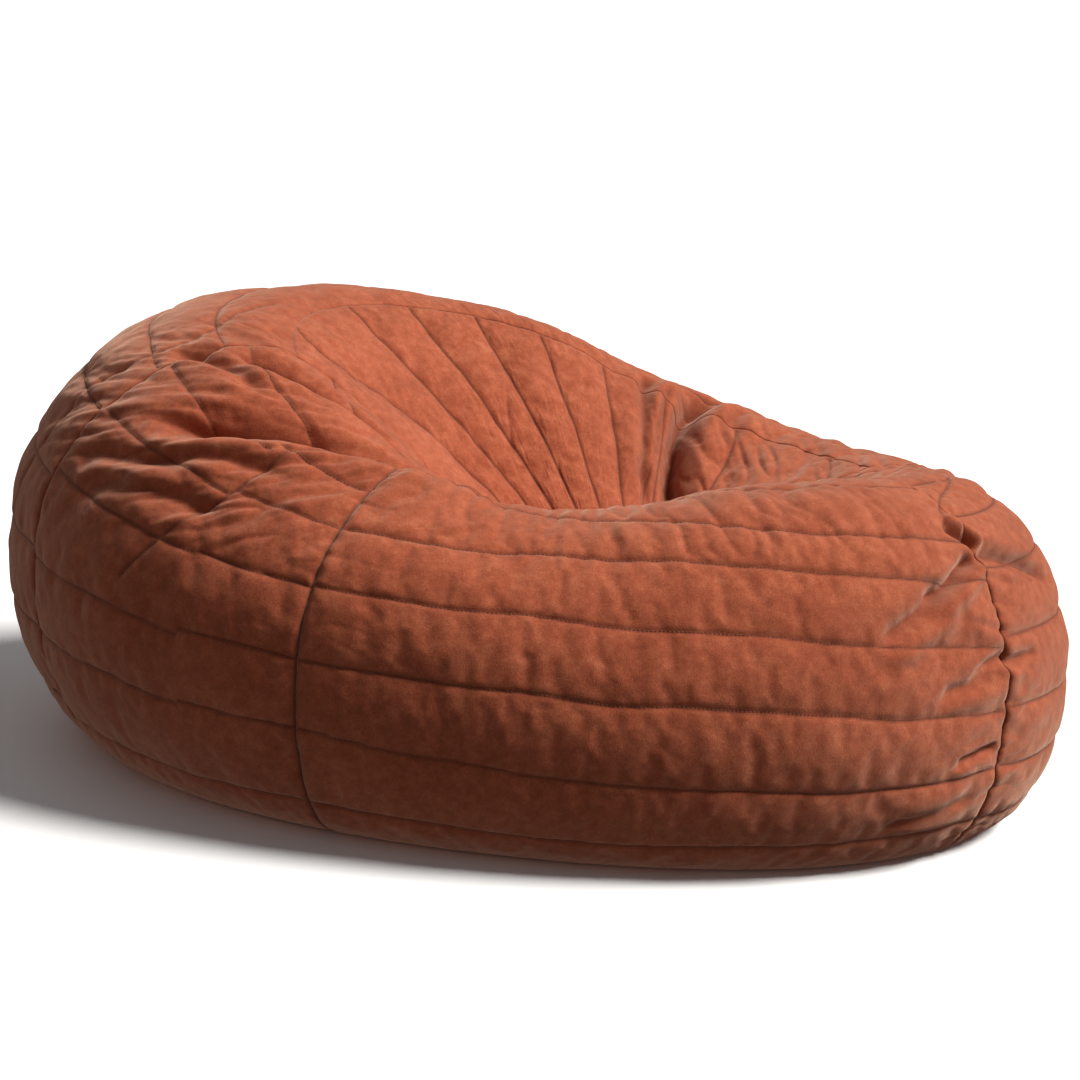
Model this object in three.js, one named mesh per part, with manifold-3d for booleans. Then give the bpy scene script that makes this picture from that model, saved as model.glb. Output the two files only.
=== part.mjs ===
// Quilted bean bag lounge chair, slumped from use, with a seat hollow and a raised backrest.
// Millimetres, +Z up, the sitter faces -Y, origin on the floor under the middle of the bag.
// Every soft skin is a patch of one bag surface, pushed in by its own depth, so the layers nest:
// quilted cover panels, then the liner bag, then the foam fill. Two zips close the two bags.

import * as THREE from 'three';
import { mergeVertices } from 'three/addons/utils/BufferGeometryUtils.js';
import Module from 'manifold-3d';

const wasm = await Module();
wasm.setup();

// ---- driving dimensions of the bag ----

const bag = {
  halfWidth: 716,
  halfDepth: 553,
  squareness: 2.14,                            // exponent of the plan outline, 2 is an ellipse
  planSkew: [0.044, -0.037, 0.099],            // slump of the outline: front, right, diagonal
  foot: [0.839, -0.014, 0.053],                // floor patch as a share of the outline
  crest: [0.60, 0.13, 0.037, -0.05],           // rim of the hollow as a share of the outline
  belt: [235, -44, -48],                       // height of the widest ring: mean, front, right
  rim: [517, -88, 33, 20, 12],                 // height of the rim round the hollow
  slump: 0.52,                                 // the backrest's high point leans to the left, rad
  seatHeight: 260,
  seatShift: [30, -130],                       // the low point of the seat lies forward
};

// ---- driving dimensions of the skins, all measured inwards from the bag surface ----

const coverDepth = 10;
const baseDepth = 6;
const liner = { outer: 13.5, inner: 15, outerFloor: 14, innerFloor: 15.5 };
const fill = { depth: 17, floor: 20 };
const seam = { angle: 0.0012, row: 0.002 };    // half of the gap between two sewn panels
const seamHalfGap = 0.4;                       // the same gap where it is given as a height

// ---- seams of the cover: an angle round the bag (0 is the front) or a row up the bag ----
// Row 0 is the middle of the base, 1 its edge, 2 the widest ring, 3 the rim, 4 the seat's low point.

const leftFrontSeam = -0.86;
const rightFrontSeam = 0.72;
const leftBackSeam = -1.53;
const rightBackSeam = 1.40;
const baseSeam = 1.08;
const crestSeam = 3.12;
const seatSeam = 3.70;
const sideRows = [1.16, 1.27, 1.4, 1.6, 1.8, 2.0, 2.2, 2.4, 2.6, 2.8, 2.94, 3.03];
const wallRows = [3.22, 3.34, 3.46, 3.58];
const coverStep = Math.PI / 24;
const linerStep = Math.PI / 16;

// ---- driving dimensions of the zips ----

const coverZip = { height: 80, above: 15.5, below: 20.5, tape: 13, depth: 4 };
const linerZip = { halfLength: 260, y: 130, z: 14.75, slot: 15.8, tape: 14 };
const coil = { wide: 3.2, thick: 2.6, gap: 2.4 };
const tapeThick = 1;
const stop = { long: 4, wide: 9, thick: 3.4 };
const slider = { long: 20, wide: 13, front: 1.6, rear: 1.4, web: 1.4, play: 0.5 };
const bail = { half: 3.5, leg: 1.6, top: 1.6, wide: 1.6, inside: 4 };
const pull = { long: 28, wide: 9, thick: 1.8, bar: 1.0, holeEnd: 5.6, holeWide: 3.4, pivot: 2.3 };
const endPlay = 1;                             // left between a slider and the end of its chain
const chainInset = 10;                         // a chain stops short of the ends of its slot

// ---- materials ----

const quilt = { color: 0xa8583b, roughness: 0.95, metalness: 0 };
const baseCloth = { color: 0x5b3527, roughness: 0.95, metalness: 0 };
const linerCloth = { color: 0xd8d2c8, roughness: 0.85, metalness: 0 };
const foam = { color: 0xe8dfc8, roughness: 1, metalness: 0 };
const tapeCloth = { color: 0x7c3f2b, roughness: 0.9, metalness: 0 };
const nylon = { color: 0x6b3524, roughness: 0.5, metalness: 0 };
const zipMetal = { color: 0x4a4540, roughness: 0.35, metalness: 1 };

// ---- the bag surface ----

function ease(t) {
  const c = Math.min(Math.max(t, 0), 1);
  return c * c * (3 - 2 * c);
}

function outline(a) {
  const n = bag.squareness;
  const across = Math.abs(Math.sin(a)) / bag.halfWidth;
  const along = Math.abs(Math.cos(a)) / bag.halfDepth;
  const skew = bag.planSkew;
  const slump = 1 + skew[0] * Math.cos(a) + skew[1] * Math.sin(a) + skew[2] * Math.sin(2 * a);
  return slump / Math.pow(Math.pow(across, n) + Math.pow(along, n), 1 / n);
}

function beltHeight(a) {
  return bag.belt[0] + bag.belt[1] * Math.cos(a) + bag.belt[2] * Math.sin(a);
}

function rimHeight(a) {
  const t = a - bag.slump;
  const h = bag.rim;
  const waves = h[1] * Math.cos(t) + h[2] * Math.cos(2 * t) + h[3] * Math.cos(3 * t);
  return h[0] + waves + h[4] * Math.sin(2 * t);
}

// The point of the bag surface at angle a and row s, before it is centred on its own box.
function rawPoint(a, s) {
  const wide = outline(a);
  const foot = wide * (bag.foot[0] + bag.foot[1] * Math.cos(a) + bag.foot[2] * Math.sin(a));
  const crest = bag.crest;
  const rim = wide * (crest[0] + crest[1] * Math.cos(a) + crest[2] * Math.sin(a)
    + crest[3] * Math.cos(2 * a));
  const belt = beltHeight(a);
  const top = rimHeight(a);
  let r = foot * s;
  let z = 0;
  if (s >= 3) {
    const q = 4 - s;
    r = rim * q;
    z = bag.seatHeight + (top - bag.seatHeight) * ease(q);
  } else if (s >= 2) {
    const f = (s - 2) * Math.PI / 2;
    r = rim + (wide - rim) * Math.cos(f);
    z = belt + (top - belt) * Math.sin(f);
  } else if (s >= 1) {
    const f = (s - 1) * Math.PI / 2;
    r = foot + (wide - foot) * Math.sin(f);
    z = belt * (1 - Math.cos(f));
  }
  const forward = ease(s - 3);
  const x = r * Math.sin(a) + bag.seatShift[0] * forward;
  const y = -r * Math.cos(a) + bag.seatShift[1] * forward;
  return new THREE.Vector3(x, y, z);
}

// The widest ring sets the plan box, so the bag is centred on it.
function planCentre() {
  const box = new THREE.Box3();
  const samples = 1440;
  for (let i = 0; i < samples; i += 1) {
    box.expandByPoint(rawPoint(i / samples * 2 * Math.PI, 2));
  }
  const centre = box.getCenter(new THREE.Vector3());
  return centre.setZ(0);
}

const centre = planCentre();

function surfaceNormal(a, s) {
  const h = 1e-4;
  if (s < 1) return new THREE.Vector3(0, 0, -1);
  if (s > 4 - 2 * h) return new THREE.Vector3(0, 0, 1);
  const low = Math.max(s - h, 1);
  const round = rawPoint(a + h, s).sub(rawPoint(a - h, s));
  const up = rawPoint(a, s + h).sub(rawPoint(a, low));
  return round.cross(up).normalize();
}

// A point inside the bag, at a depth under its surface and never below a floor height.
function bagPoint(a, s, depth = 0, floor = 0) {
  const point = rawPoint(a, s).sub(centre).addScaledVector(surfaceNormal(a, s), -depth);
  point.z = Math.max(point.z, floor);
  return point;
}

// The row at which the lower side of the bag reaches a height.
function rowAtHeight(a, z) {
  return 1 + Math.acos(1 - z / beltHeight(a)) * 2 / Math.PI;
}

// ---- closed bodies from grids of the surface ----

function addTriangle(corners, a, b, c) {
  corners.push(a.x, a.y, a.z, b.x, b.y, b.z, c.x, c.y, c.z);
}

function addQuad(corners, a, b, c, d) {
  addTriangle(corners, a, b, c);
  addTriangle(corners, a, c, d);
}

// Merges shared corners and drops the triangles that a pole has shrunk to nothing.
function closedBody(corners) {
  const loose = new THREE.BufferGeometry();
  loose.setAttribute('position', new THREE.Float32BufferAttribute(corners, 3));
  const merged = mergeVertices(loose, 1e-3);
  const kept = [];
  const index = merged.index.array;
  for (let i = 0; i < index.length; i += 3) {
    const [a, b, c] = [index[i], index[i + 1], index[i + 2]];
    if (a !== b && b !== c && c !== a) kept.push(a, b, c);
  }
  merged.setIndex(kept);
  return merged;
}

function grid(angles, rows, depthAt, floor) {
  return rows.map((row) => angles.map((a) => {
    const s = typeof row === 'function' ? row(a) : row;
    return bagPoint(a, s, depthAt(s), floor);
  }));
}

// Joins an outer and an inner grid with walls round the open edges.
function shell(outer, inner, { closed = false, openStart = true, openEnd = true }) {
  const corners = [];
  const last = outer.length - 1;
  const ends = outer[0].length - 1;
  for (let j = 0; j < last; j += 1) {
    for (let i = 0; i < ends; i += 1) {
      addQuad(corners, outer[j][i], outer[j][i + 1], outer[j + 1][i + 1], outer[j + 1][i]);
      addQuad(corners, inner[j][i], inner[j + 1][i], inner[j + 1][i + 1], inner[j][i + 1]);
    }
    if (!closed) {
      addQuad(corners, outer[j][0], outer[j + 1][0], inner[j + 1][0], inner[j][0]);
      addQuad(corners, outer[j + 1][ends], outer[j][ends], inner[j][ends], inner[j + 1][ends]);
    }
  }
  for (let i = 0; i < ends; i += 1) {
    if (openStart) addQuad(corners, outer[0][i + 1], outer[0][i], inner[0][i], inner[0][i + 1]);
    if (openEnd) {
      addQuad(corners, outer[last][i], outer[last][i + 1], inner[last][i + 1], inner[last][i]);
    }
  }
  return closedBody(corners);
}

// Angles from start to end on the common division of the circle, with extra ones where asked.
function anglesBetween(start, end, step, extra = []) {
  const angles = [start, end, ...extra];
  const nearest = step / 8;
  for (let k = Math.ceil(start / step); k * step < end; k += 1) {
    if (angles.every((a) => Math.abs(a - k * step) > nearest)) angles.push(k * step);
  }
  return angles.sort((a, b) => a - b);
}

function fullCircle(step) {
  const count = Math.round(2 * Math.PI / step);
  return Array.from({ length: count + 1 }, (_, i) => (i % count) * step);
}

function coverPatch(start, end, rows, extra) {
  const angles = anglesBetween(start + seam.angle, end - seam.angle, coverStep, extra);
  const outer = grid(angles, rows, () => 0, 0);
  const inner = grid(angles, rows, () => coverDepth, 0);
  return shell(outer, inner, {});
}

// A full ring or disc of skin; a pole at either end closes it there.
function roundSkin(rows, step, outerDepth, innerDepth, floors = [0, 0]) {
  const angles = fullCircle(step);
  const outer = grid(angles, rows, outerDepth, floors[0]);
  const inner = grid(angles, rows, innerDepth, floors[1]);
  const openStart = rows[0] > 0;
  const openEnd = rows[rows.length - 1] < 4;
  return shell(outer, inner, { closed: true, openStart, openEnd });
}

// ---- booleans ----

function toManifold(geometry) {
  const bare = geometry.clone();
  bare.deleteAttribute('normal');
  bare.deleteAttribute('uv');
  const merged = mergeVertices(bare, 1e-3);
  const vertProperties = new Float32Array(merged.attributes.position.array);
  const triVerts = new Uint32Array(merged.index.array);
  return new wasm.Manifold(new wasm.Mesh({ numProp: 3, vertProperties, triVerts }));
}

function fromManifold(solid) {
  const { vertProperties, triVerts } = solid.getMesh();
  const geometry = new THREE.BufferGeometry();
  geometry.setAttribute('position', new THREE.BufferAttribute(new Float32Array(vertProperties), 3));
  geometry.setIndex(Array.from(triVerts));
  return geometry;
}

// ---- the object ----

const chair = new THREE.Group();

function addPiece(name, geometry, finish, parent = chair) {
  const mesh = new THREE.Mesh(geometry, new THREE.MeshStandardMaterial(finish));
  mesh.name = name;
  parent.add(mesh);
  return mesh;
}

// ---- quilted cover ----

const zipStart = Math.PI - 5 * coverStep;      // the stretch of the back nearest to a true arc
const zipMiddle = Math.PI - coverStep;
const zipEnd = Math.PI + 3 * coverStep;
const slotStep = 0.004;
const slotCorners = [zipStart - slotStep, zipStart, zipEnd, zipEnd + slotStep];
const backStart = rightBackSeam;
const backEnd = leftBackSeam + 2 * Math.PI;

// The edge of a panel along the zip: a plain seam that opens into the zip's slot. The skin leans
// out as it rises, so the lower panel's inner edge stands higher and its side of the slot is wider.
function zipEdge(side) {
  return (a) => {
    const inSlot = a >= zipStart && a <= zipEnd;
    const open = side > 0 ? coverZip.above : coverZip.below;
    const half = inSlot ? open : seamHalfGap;
    return rowAtHeight(a, coverZip.height + side * half);
  };
}

const tallRows = [
  baseSeam + seam.row, ...sideRows, crestSeam, ...wallRows, seatSeam - seam.row,
];
addPiece('cover_front_panel', coverPatch(leftFrontSeam, rightFrontSeam, tallRows), quilt);
addPiece('cover_left_arm_panel', coverPatch(leftBackSeam, leftFrontSeam, tallRows), quilt);
addPiece('cover_right_arm_panel', coverPatch(rightFrontSeam, rightBackSeam, tallRows), quilt);

const lowerRows = sideRows.filter((s) => s < 1.3);
const betweenLowRow = (a) => (zipEdge(-1)(a) + lowerRows.at(-1)) / 2;
const lowBackRows = [baseSeam + seam.row, ...lowerRows, betweenLowRow, zipEdge(-1)];
const upperRows = sideRows.filter((s) => s > 1.7);
const betweenHighRow = (a) => (zipEdge(1)(a) + upperRows[0]) / 2;
const highBackRows = [zipEdge(1), betweenHighRow, ...upperRows, crestSeam - seam.row];
const backrestRows = [crestSeam + seam.row, ...wallRows, seatSeam - seam.row];
addPiece('cover_lower_back_panel', coverPatch(backStart, backEnd, lowBackRows, slotCorners), quilt);
addPiece('cover_outer_back_panel', coverPatch(backStart, backEnd, highBackRows, slotCorners), quilt);
addPiece('cover_backrest_panel', coverPatch(backStart, backEnd, backrestRows, slotCorners), quilt);

const seatRows = [seatSeam + seam.row, 3.85, 4];
const seatPatch = roundSkin(seatRows, coverStep, () => 0, () => coverDepth);
addPiece('cover_seat_panel', seatPatch, quilt);

const baseRows = [0, 0.45, 0.85, 1, baseSeam - seam.row];
const thinBase = (s) => baseDepth + (coverDepth - baseDepth) * ease((s - 0.85) / 0.25);
addPiece('cover_base_panel', roundSkin(baseRows, coverStep, () => 0, thinBase), baseCloth);

// ---- cover zip: it follows an arc of one circle, so its slider turns about the circle's axis ----

function circleThrough(p, q, r) {
  const d = 2 * (p.x * (q.y - r.y) + q.x * (r.y - p.y) + r.x * (p.y - q.y));
  const [pp, qq, rr] = [p, q, r].map((v) => v.x * v.x + v.y * v.y);
  const x = (pp * (q.y - r.y) + qq * (r.y - p.y) + rr * (p.y - q.y)) / d;
  const y = (pp * (r.x - q.x) + qq * (p.x - r.x) + rr * (q.x - p.x)) / d;
  return { x, y, radius: Math.hypot(p.x - x, p.y - y) };
}

function zipPathPoint(a) {
  return bagPoint(a, rowAtHeight(a, coverZip.height), coverZip.depth);
}

const arcEnds = [zipPathPoint(zipStart), zipPathPoint(zipEnd)];
const arc = circleThrough(arcEnds[0], zipPathPoint(zipMiddle), arcEnds[1]);
const arcAngles = arcEnds.map((p) => Math.atan2(p.y - arc.y, p.x - arc.x));
const chainStart = arcAngles[0] + chainInset / arc.radius;
const chainEnd = arcAngles[1] - chainInset / arc.radius;

const zipGroup = new THREE.Group();
zipGroup.position.set(arc.x, arc.y, coverZip.height);
chair.add(zipGroup);

// A bar of rectangular section bent along the zip's circle.
function arcBar(inner, outer, bottom, top, start, end, segments) {
  const shape = new THREE.Shape();
  shape.absarc(0, 0, arc.radius + outer, start, end, false);
  shape.absarc(0, 0, arc.radius + inner, end, start, true);
  const options = { depth: top - bottom, bevelEnabled: false, curveSegments: segments };
  return new THREE.ExtrudeGeometry(shape, options).translate(0, 0, bottom);
}

const chainSegments = 16;
const coilEdge = coil.gap / 2 + coil.wide;
const tapeStart = arcAngles[0] + 2 / arc.radius;
const tapeEnd = arcAngles[1] - 2 / arc.radius;

for (const [side, name] of [[1, 'upper'], [-1, 'lower']]) {
  const coilSpan = [side * coil.gap / 2, side * coilEdge].sort((a, b) => a - b);
  const coilBar = arcBar(-coil.thick / 2, coil.thick / 2, coilSpan[0], coilSpan[1],
    chainStart, chainEnd, chainSegments);
  addPiece(`cover_zip_coil_${name}`, coilBar, nylon, zipGroup);
  const tapeSpan = [side * (coilEdge + 0.3), side * (coilEdge + 0.3 + coverZip.tape - coil.wide)];
  tapeSpan.sort((a, b) => a - b);
  const tapeBar = arcBar(-tapeThick / 2, tapeThick / 2, tapeSpan[0], tapeSpan[1],
    tapeStart, tapeEnd, chainSegments);
  addPiece(`cover_zip_tape_${name}`, tapeBar, tapeCloth, zipGroup);
}

const stopAngle = (stop.long + 0.4) / arc.radius;
const stopSpans = {
  right: [chainStart - stopAngle, chainStart - 0.4 / arc.radius],
  left: [chainEnd + 0.4 / arc.radius, chainEnd + stopAngle],
};
for (const [name, span] of Object.entries(stopSpans)) {
  const block = arcBar(-stop.thick / 2, stop.thick / 2, -stop.wide / 2, stop.wide / 2,
    span[0], span[1], 2);
  addPiece(`cover_zip_stop_${name}`, block, zipMetal, zipGroup);
}

// ---- sliders: two plates joined by a web that runs between the two coils ----

// Shape X becomes outward, shape Y becomes across the zip, the extrusion runs along the zip.
const alongZip = new THREE.Matrix4().makeBasis(
  new THREE.Vector3(0, 1, 0), new THREE.Vector3(0, 0, 1), new THREE.Vector3(1, 0, 0),
);

function sliderBody() {
  const half = slider.wide / 2;
  const web = slider.web / 2;
  const face = coil.thick / 2 + slider.play;
  const profile = new THREE.Shape([
    [-face - slider.rear, -half], [-face, -half], [-face, -web], [face, -web],
    [face, -half], [face + slider.front, -half], [face + slider.front, half], [face, half],
    [face, web], [-face, web], [-face, half], [-face - slider.rear, half],
  ].map(([x, y]) => new THREE.Vector2(x, y)));
  const options = { depth: slider.long, bevelEnabled: false };
  const body = new THREE.ExtrudeGeometry(profile, options);
  return body.translate(0, 0, -slider.long / 2).applyMatrix4(alongZip);
}

const plateFace = coil.thick / 2 + slider.play + slider.front;

// The arch on the slider's front plate that holds the pull.
function bailArch() {
  const inner = bail.half - bail.leg;
  const height = bail.inside + bail.top;
  const bevel = 1;
  const sunk = 0.5;
  const profile = new THREE.Shape([
    [-bail.half, -sunk], [-inner, -sunk], [-inner, bail.inside], [inner, bail.inside],
    [inner, -sunk], [bail.half, -sunk], [bail.half, height - bevel],
    [bail.half - bevel, height], [-bail.half + bevel, height], [-bail.half, height - bevel],
  ].map(([x, y]) => new THREE.Vector2(x, y)));
  const arch = new THREE.ExtrudeGeometry(profile, { depth: bail.wide, bevelEnabled: false });
  return arch.translate(0, 0, -bail.wide / 2).translate(0, plateFace, 0);
}

const sliderWithBail = fromManifold(toManifold(sliderBody()).add(toManifold(bailArch())));

// Closed, the slider stands at the start of the chain and its pull lies back along the chain.
const sliderInset = (slider.long / 2 + endPlay) / arc.radius;
const sliderGroup = new THREE.Group();
const restAngle = chainStart + sliderInset;
sliderGroup.position.set(Math.cos(restAngle) * arc.radius, Math.sin(restAngle) * arc.radius, 0);
sliderGroup.rotation.z = restAngle - Math.PI / 2;
zipGroup.add(sliderGroup);
addPiece('cover_zip_slider', sliderWithBail, zipMetal, sliderGroup);

function pullTab() {
  const half = pull.wide / 2;
  const round = 3;
  const shape = new THREE.Shape();
  shape.moveTo(-pull.bar, -half);
  shape.lineTo(pull.long - round, -half);
  shape.lineTo(pull.long, -half + round);
  shape.lineTo(pull.long, half - round);
  shape.lineTo(pull.long - round, half);
  shape.lineTo(-pull.bar, half);
  shape.closePath();
  const hole = pull.holeWide / 2;
  const cut = new THREE.Path();
  cut.moveTo(pull.bar, -hole);
  cut.lineTo(pull.bar, hole);
  cut.lineTo(pull.holeEnd, hole);
  cut.lineTo(pull.holeEnd, -hole);
  cut.closePath();
  shape.holes.push(cut);
  const tab = new THREE.ExtrudeGeometry(shape, { depth: pull.thick, bevelEnabled: false });
  return tab.translate(0, 0, -pull.thick / 2).rotateX(Math.PI / 2);
}

const pullGroup = new THREE.Group();
pullGroup.position.set(0, plateFace + pull.pivot, 0);
pullGroup.rotation.z = Math.PI;
sliderGroup.add(pullGroup);
addPiece('cover_zip_pull', pullTab(), zipMetal, pullGroup);

// ---- guard strip behind the cover zip ----

const guard = { outer: 12, inner: 12.5, low: -28, high: 24 };
function guardRow(offset) {
  return (a) => rowAtHeight(a, coverZip.height + offset);
}
const guardAngles = anglesBetween(zipStart, zipEnd, coverStep);
const guardRows = [guardRow(guard.low), zipEdge(-1), guardRow(0), zipEdge(1), guardRow(guard.high)];
const guardShell = shell(
  grid(guardAngles, guardRows, () => guard.outer, 0),
  grid(guardAngles, guardRows, () => guard.inner, 0),
  {},
);
addPiece('cover_zip_guard', guardShell, tapeCloth);

// ---- liner bag, slit along its zip ----

const skinRows = [0, 0.45, 0.85, 1, baseSeam, ...sideRows, crestSeam, ...wallRows, seatSeam, 3.85, 4];
const wholeLiner = roundSkin(skinRows, linerStep, () => liner.outer, () => liner.inner,
  [liner.outerFloor, liner.innerFloor]);

function wholeFill() {
  const points = grid(fullCircle(linerStep), skinRows, () => fill.depth, fill.floor);
  const corners = [];
  for (let j = 0; j < points.length - 1; j += 1) {
    for (let i = 0; i < points[0].length - 1; i += 1) {
      addQuad(corners, points[j][i], points[j][i + 1], points[j + 1][i + 1], points[j + 1][i]);
    }
  }
  return closedBody(corners);
}

function linerSlit() {
  const length = 2 * (linerZip.halfLength + 2);
  const slit = new THREE.BoxGeometry(length, 2 * linerZip.slot, 6);
  return slit.translate(0, linerZip.y, linerZip.z);
}

const slitLiner = toManifold(wholeLiner).subtract(toManifold(linerSlit()));
addPiece('liner_bag', fromManifold(slitLiner), linerCloth);
addPiece('foam_fill', wholeFill(), foam);

// ---- liner zip: straight, in the flat underside, with a child-safe slider that has no pull ----

const linerGroup = new THREE.Group();
linerGroup.position.set(0, linerZip.y, linerZip.z);
chair.add(linerGroup);

const linerChain = linerZip.halfLength - chainInset;
const linerTape = linerZip.tape - coil.wide;
for (const [side, name] of [[1, 'rear'], [-1, 'front']]) {
  const coilBar = new THREE.BoxGeometry(2 * linerChain, coil.wide, coil.thick);
  coilBar.translate(0, side * (coil.gap + coil.wide) / 2, 0);
  addPiece(`liner_zip_coil_${name}`, coilBar, nylon, linerGroup);
  const tapeBar = new THREE.BoxGeometry(2 * linerZip.halfLength, linerTape, tapeThick);
  tapeBar.translate(0, side * (coilEdge + 0.3 + linerTape / 2), 0);
  addPiece(`liner_zip_tape_${name}`, tapeBar, linerCloth, linerGroup);
}
for (const [side, name] of [[1, 'right'], [-1, 'left']]) {
  const block = new THREE.BoxGeometry(stop.long, stop.wide - 1, stop.thick);
  block.translate(side * (linerChain + 0.4 + stop.long / 2), 0, 0);
  addPiece(`liner_zip_stop_${name}`, block, zipMetal, linerGroup);
}

const linerSliderGroup = new THREE.Group();
linerSliderGroup.position.x = slider.long / 2 + endPlay - linerChain;
linerSliderGroup.rotation.x = -Math.PI / 2;
linerGroup.add(linerSliderGroup);
addPiece('liner_zip_slider', sliderBody(), zipMetal, linerSliderGroup);

export default chair;
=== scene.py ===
import math
import bpy
import numpy as np
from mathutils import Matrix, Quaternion, Vector


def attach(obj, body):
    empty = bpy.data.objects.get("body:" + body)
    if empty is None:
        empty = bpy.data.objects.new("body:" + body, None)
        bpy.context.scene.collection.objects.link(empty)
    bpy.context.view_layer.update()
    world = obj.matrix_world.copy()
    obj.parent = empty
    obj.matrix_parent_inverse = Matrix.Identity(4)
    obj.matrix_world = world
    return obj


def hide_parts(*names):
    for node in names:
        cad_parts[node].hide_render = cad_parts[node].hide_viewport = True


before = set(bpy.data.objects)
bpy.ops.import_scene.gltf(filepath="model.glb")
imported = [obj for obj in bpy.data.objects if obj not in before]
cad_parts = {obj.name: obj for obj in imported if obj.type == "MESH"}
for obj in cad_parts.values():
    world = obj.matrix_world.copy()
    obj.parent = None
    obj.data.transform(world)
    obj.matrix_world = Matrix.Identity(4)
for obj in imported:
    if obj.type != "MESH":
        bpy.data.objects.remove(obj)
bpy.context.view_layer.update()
scene = bpy.context.scene
print("frame loaded:", len(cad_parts), "nodes")

# Angle a goes round the bag (0 is the front, + to the right). Row s goes up it: 0 the middle of
# the base, 1 its edge, 2 the widest ring, 3 the rim of the hollow, 4 the low point of the seat.

bagShape = {
    "halfWidth": 0.716,
    "halfDepth": 0.553,
    "squareness": 2.14,
    "planSkew": (0.044, -0.037, 0.099),
    "foot": (0.839, -0.014, 0.053),
    "crest": (0.60, 0.13, 0.037, -0.05),
    "belt": (0.235, -0.044, -0.048),
    "rim": (0.517, -0.088, 0.033, 0.020, 0.012),
    "slump": 0.52,
    "seatHeight": 0.26,
    "seatShift": (0.03, -0.13),
}

# seams of the cover, each an angle or a row
seams = {
    "leftBack": -1.53,
    "leftDart": -1.10,
    "leftFront": -0.86,
    "rightFront": 0.72,
    "rightBack": 1.40,
    "base": 1.08,
    "crest": 3.12,
    "seat": 3.70,
}

gridSize = {"columnStep": 0.0036, "rowStep": 0.0034}


def ease(t):
    t = np.clip(t, 0, 1)
    return t * t * (3 - 2 * t)


def outlineRadius(a):
    k = bagShape
    n = k["squareness"]
    across = np.abs(np.sin(a)) / k["halfWidth"]
    along = np.abs(np.cos(a)) / k["halfDepth"]
    front, right, diagonal = k["planSkew"]
    slumped = 1 + front * np.cos(a) + right * np.sin(a) + diagonal * np.sin(2 * a)
    return slumped / (across**n + along**n) ** (1 / n)


def beltHeight(a):
    mean, front, right = bagShape["belt"]
    return mean + front * np.cos(a) + right * np.sin(a)


def rimHeight(a):
    t = a - bagShape["slump"]
    h = bagShape["rim"]
    waves = h[1] * np.cos(t) + h[2] * np.cos(2 * t) + h[3] * np.cos(3 * t)
    return h[0] + waves + h[4] * np.sin(2 * t)


def rawSurface(a, s):
    a, s = np.broadcast_arrays(np.asarray(a, float), np.asarray(s, float))
    k = bagShape
    wide = outlineRadius(a)
    foot = wide * (k["foot"][0] + k["foot"][1] * np.cos(a) + k["foot"][2] * np.sin(a))
    c = k["crest"]
    rim = wide * (c[0] + c[1] * np.cos(a) + c[2] * np.sin(a) + c[3] * np.cos(2 * a))
    belt = beltHeight(a)
    top = rimHeight(a)
    low = np.clip(s - 1, 0, 1) * math.pi / 2
    high = np.clip(s - 2, 0, 1) * math.pi / 2
    q = np.clip(4 - s, 0, 1)
    rLow = foot + (wide - foot) * np.sin(low)
    rHigh = rim + (wide - rim) * np.cos(high)
    r = np.where(s < 1, foot * s, np.where(s < 2, rLow, np.where(s < 3, rHigh, rim * q)))
    zLow = belt * (1 - np.cos(low))
    zHigh = belt + (top - belt) * np.sin(high)
    zSeat = k["seatHeight"] + (top - k["seatHeight"]) * ease(q)
    z = np.where(s < 1, 0, np.where(s < 2, zLow, np.where(s < 3, zHigh, zSeat)))
    forward = ease(s - 3)
    x = r * np.sin(a) + k["seatShift"][0] * forward
    y = -r * np.cos(a) + k["seatShift"][1] * forward
    return np.stack([x, y, z], -1)


ring = rawSurface(np.linspace(0, 2 * math.pi, 1441)[:-1], 2.0)
planCentre = (ring.min(0) + ring.max(0)) / 2 * np.array([1, 1, 0])


def bagSurface(a, s):
    return rawSurface(a, s) - planCentre


def surfaceFrame(a, s):
    # outward normal, and how many metres one unit of a and of s cover
    h = 1e-4
    lower = np.clip(s - h, 1, 4)
    upper = np.clip(s + h, 1 + h, 4)
    aStep = (rawSurface(a + h, s) - rawSurface(a - h, s)) / (2 * h)
    sStep = (rawSurface(a, upper) - rawSurface(a, lower)) / (upper - lower)[..., None]
    normal = np.cross(aStep, sStep)
    length = np.linalg.norm(normal, axis=-1, keepdims=True)
    up = np.where(s[..., None] < 2, -1.0, 1.0) * np.array([0, 0, 1.0])
    normal = np.where(length > 1e-7, normal / np.maximum(length, 1e-9), up)
    normal = np.where(s[..., None] < 1, np.array([0, 0, -1.0]), normal)
    return normal, np.linalg.norm(aStep, axis=-1), np.linalg.norm(sStep, axis=-1)


def rowAtHeight(a, z):
    return 1 + np.arccos(1 - z / beltHeight(a)) * 2 / math.pi


def lattice(seed):
    return np.random.RandomState(seed).rand(32, 32, 32)


def valueNoise(points, scale, seed):
    p = np.asarray(points) / scale
    base = np.floor(p).astype(int)
    f = p - base
    f = f * f * (3 - 2 * f)
    table = lattice(seed)
    total = 0
    for dx in (0, 1):
        for dy in (0, 1):
            for dz in (0, 1):
                w = (f[..., 0] if dx else 1 - f[..., 0])
                w = w * (f[..., 1] if dy else 1 - f[..., 1])
                w = w * (f[..., 2] if dz else 1 - f[..., 2])
                cell = table[(base[..., 0] + dx) % 32, (base[..., 1] + dy) % 32, (base[..., 2] + dz) % 32]
                total = total + w * cell
    return total * 2 - 1


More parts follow.
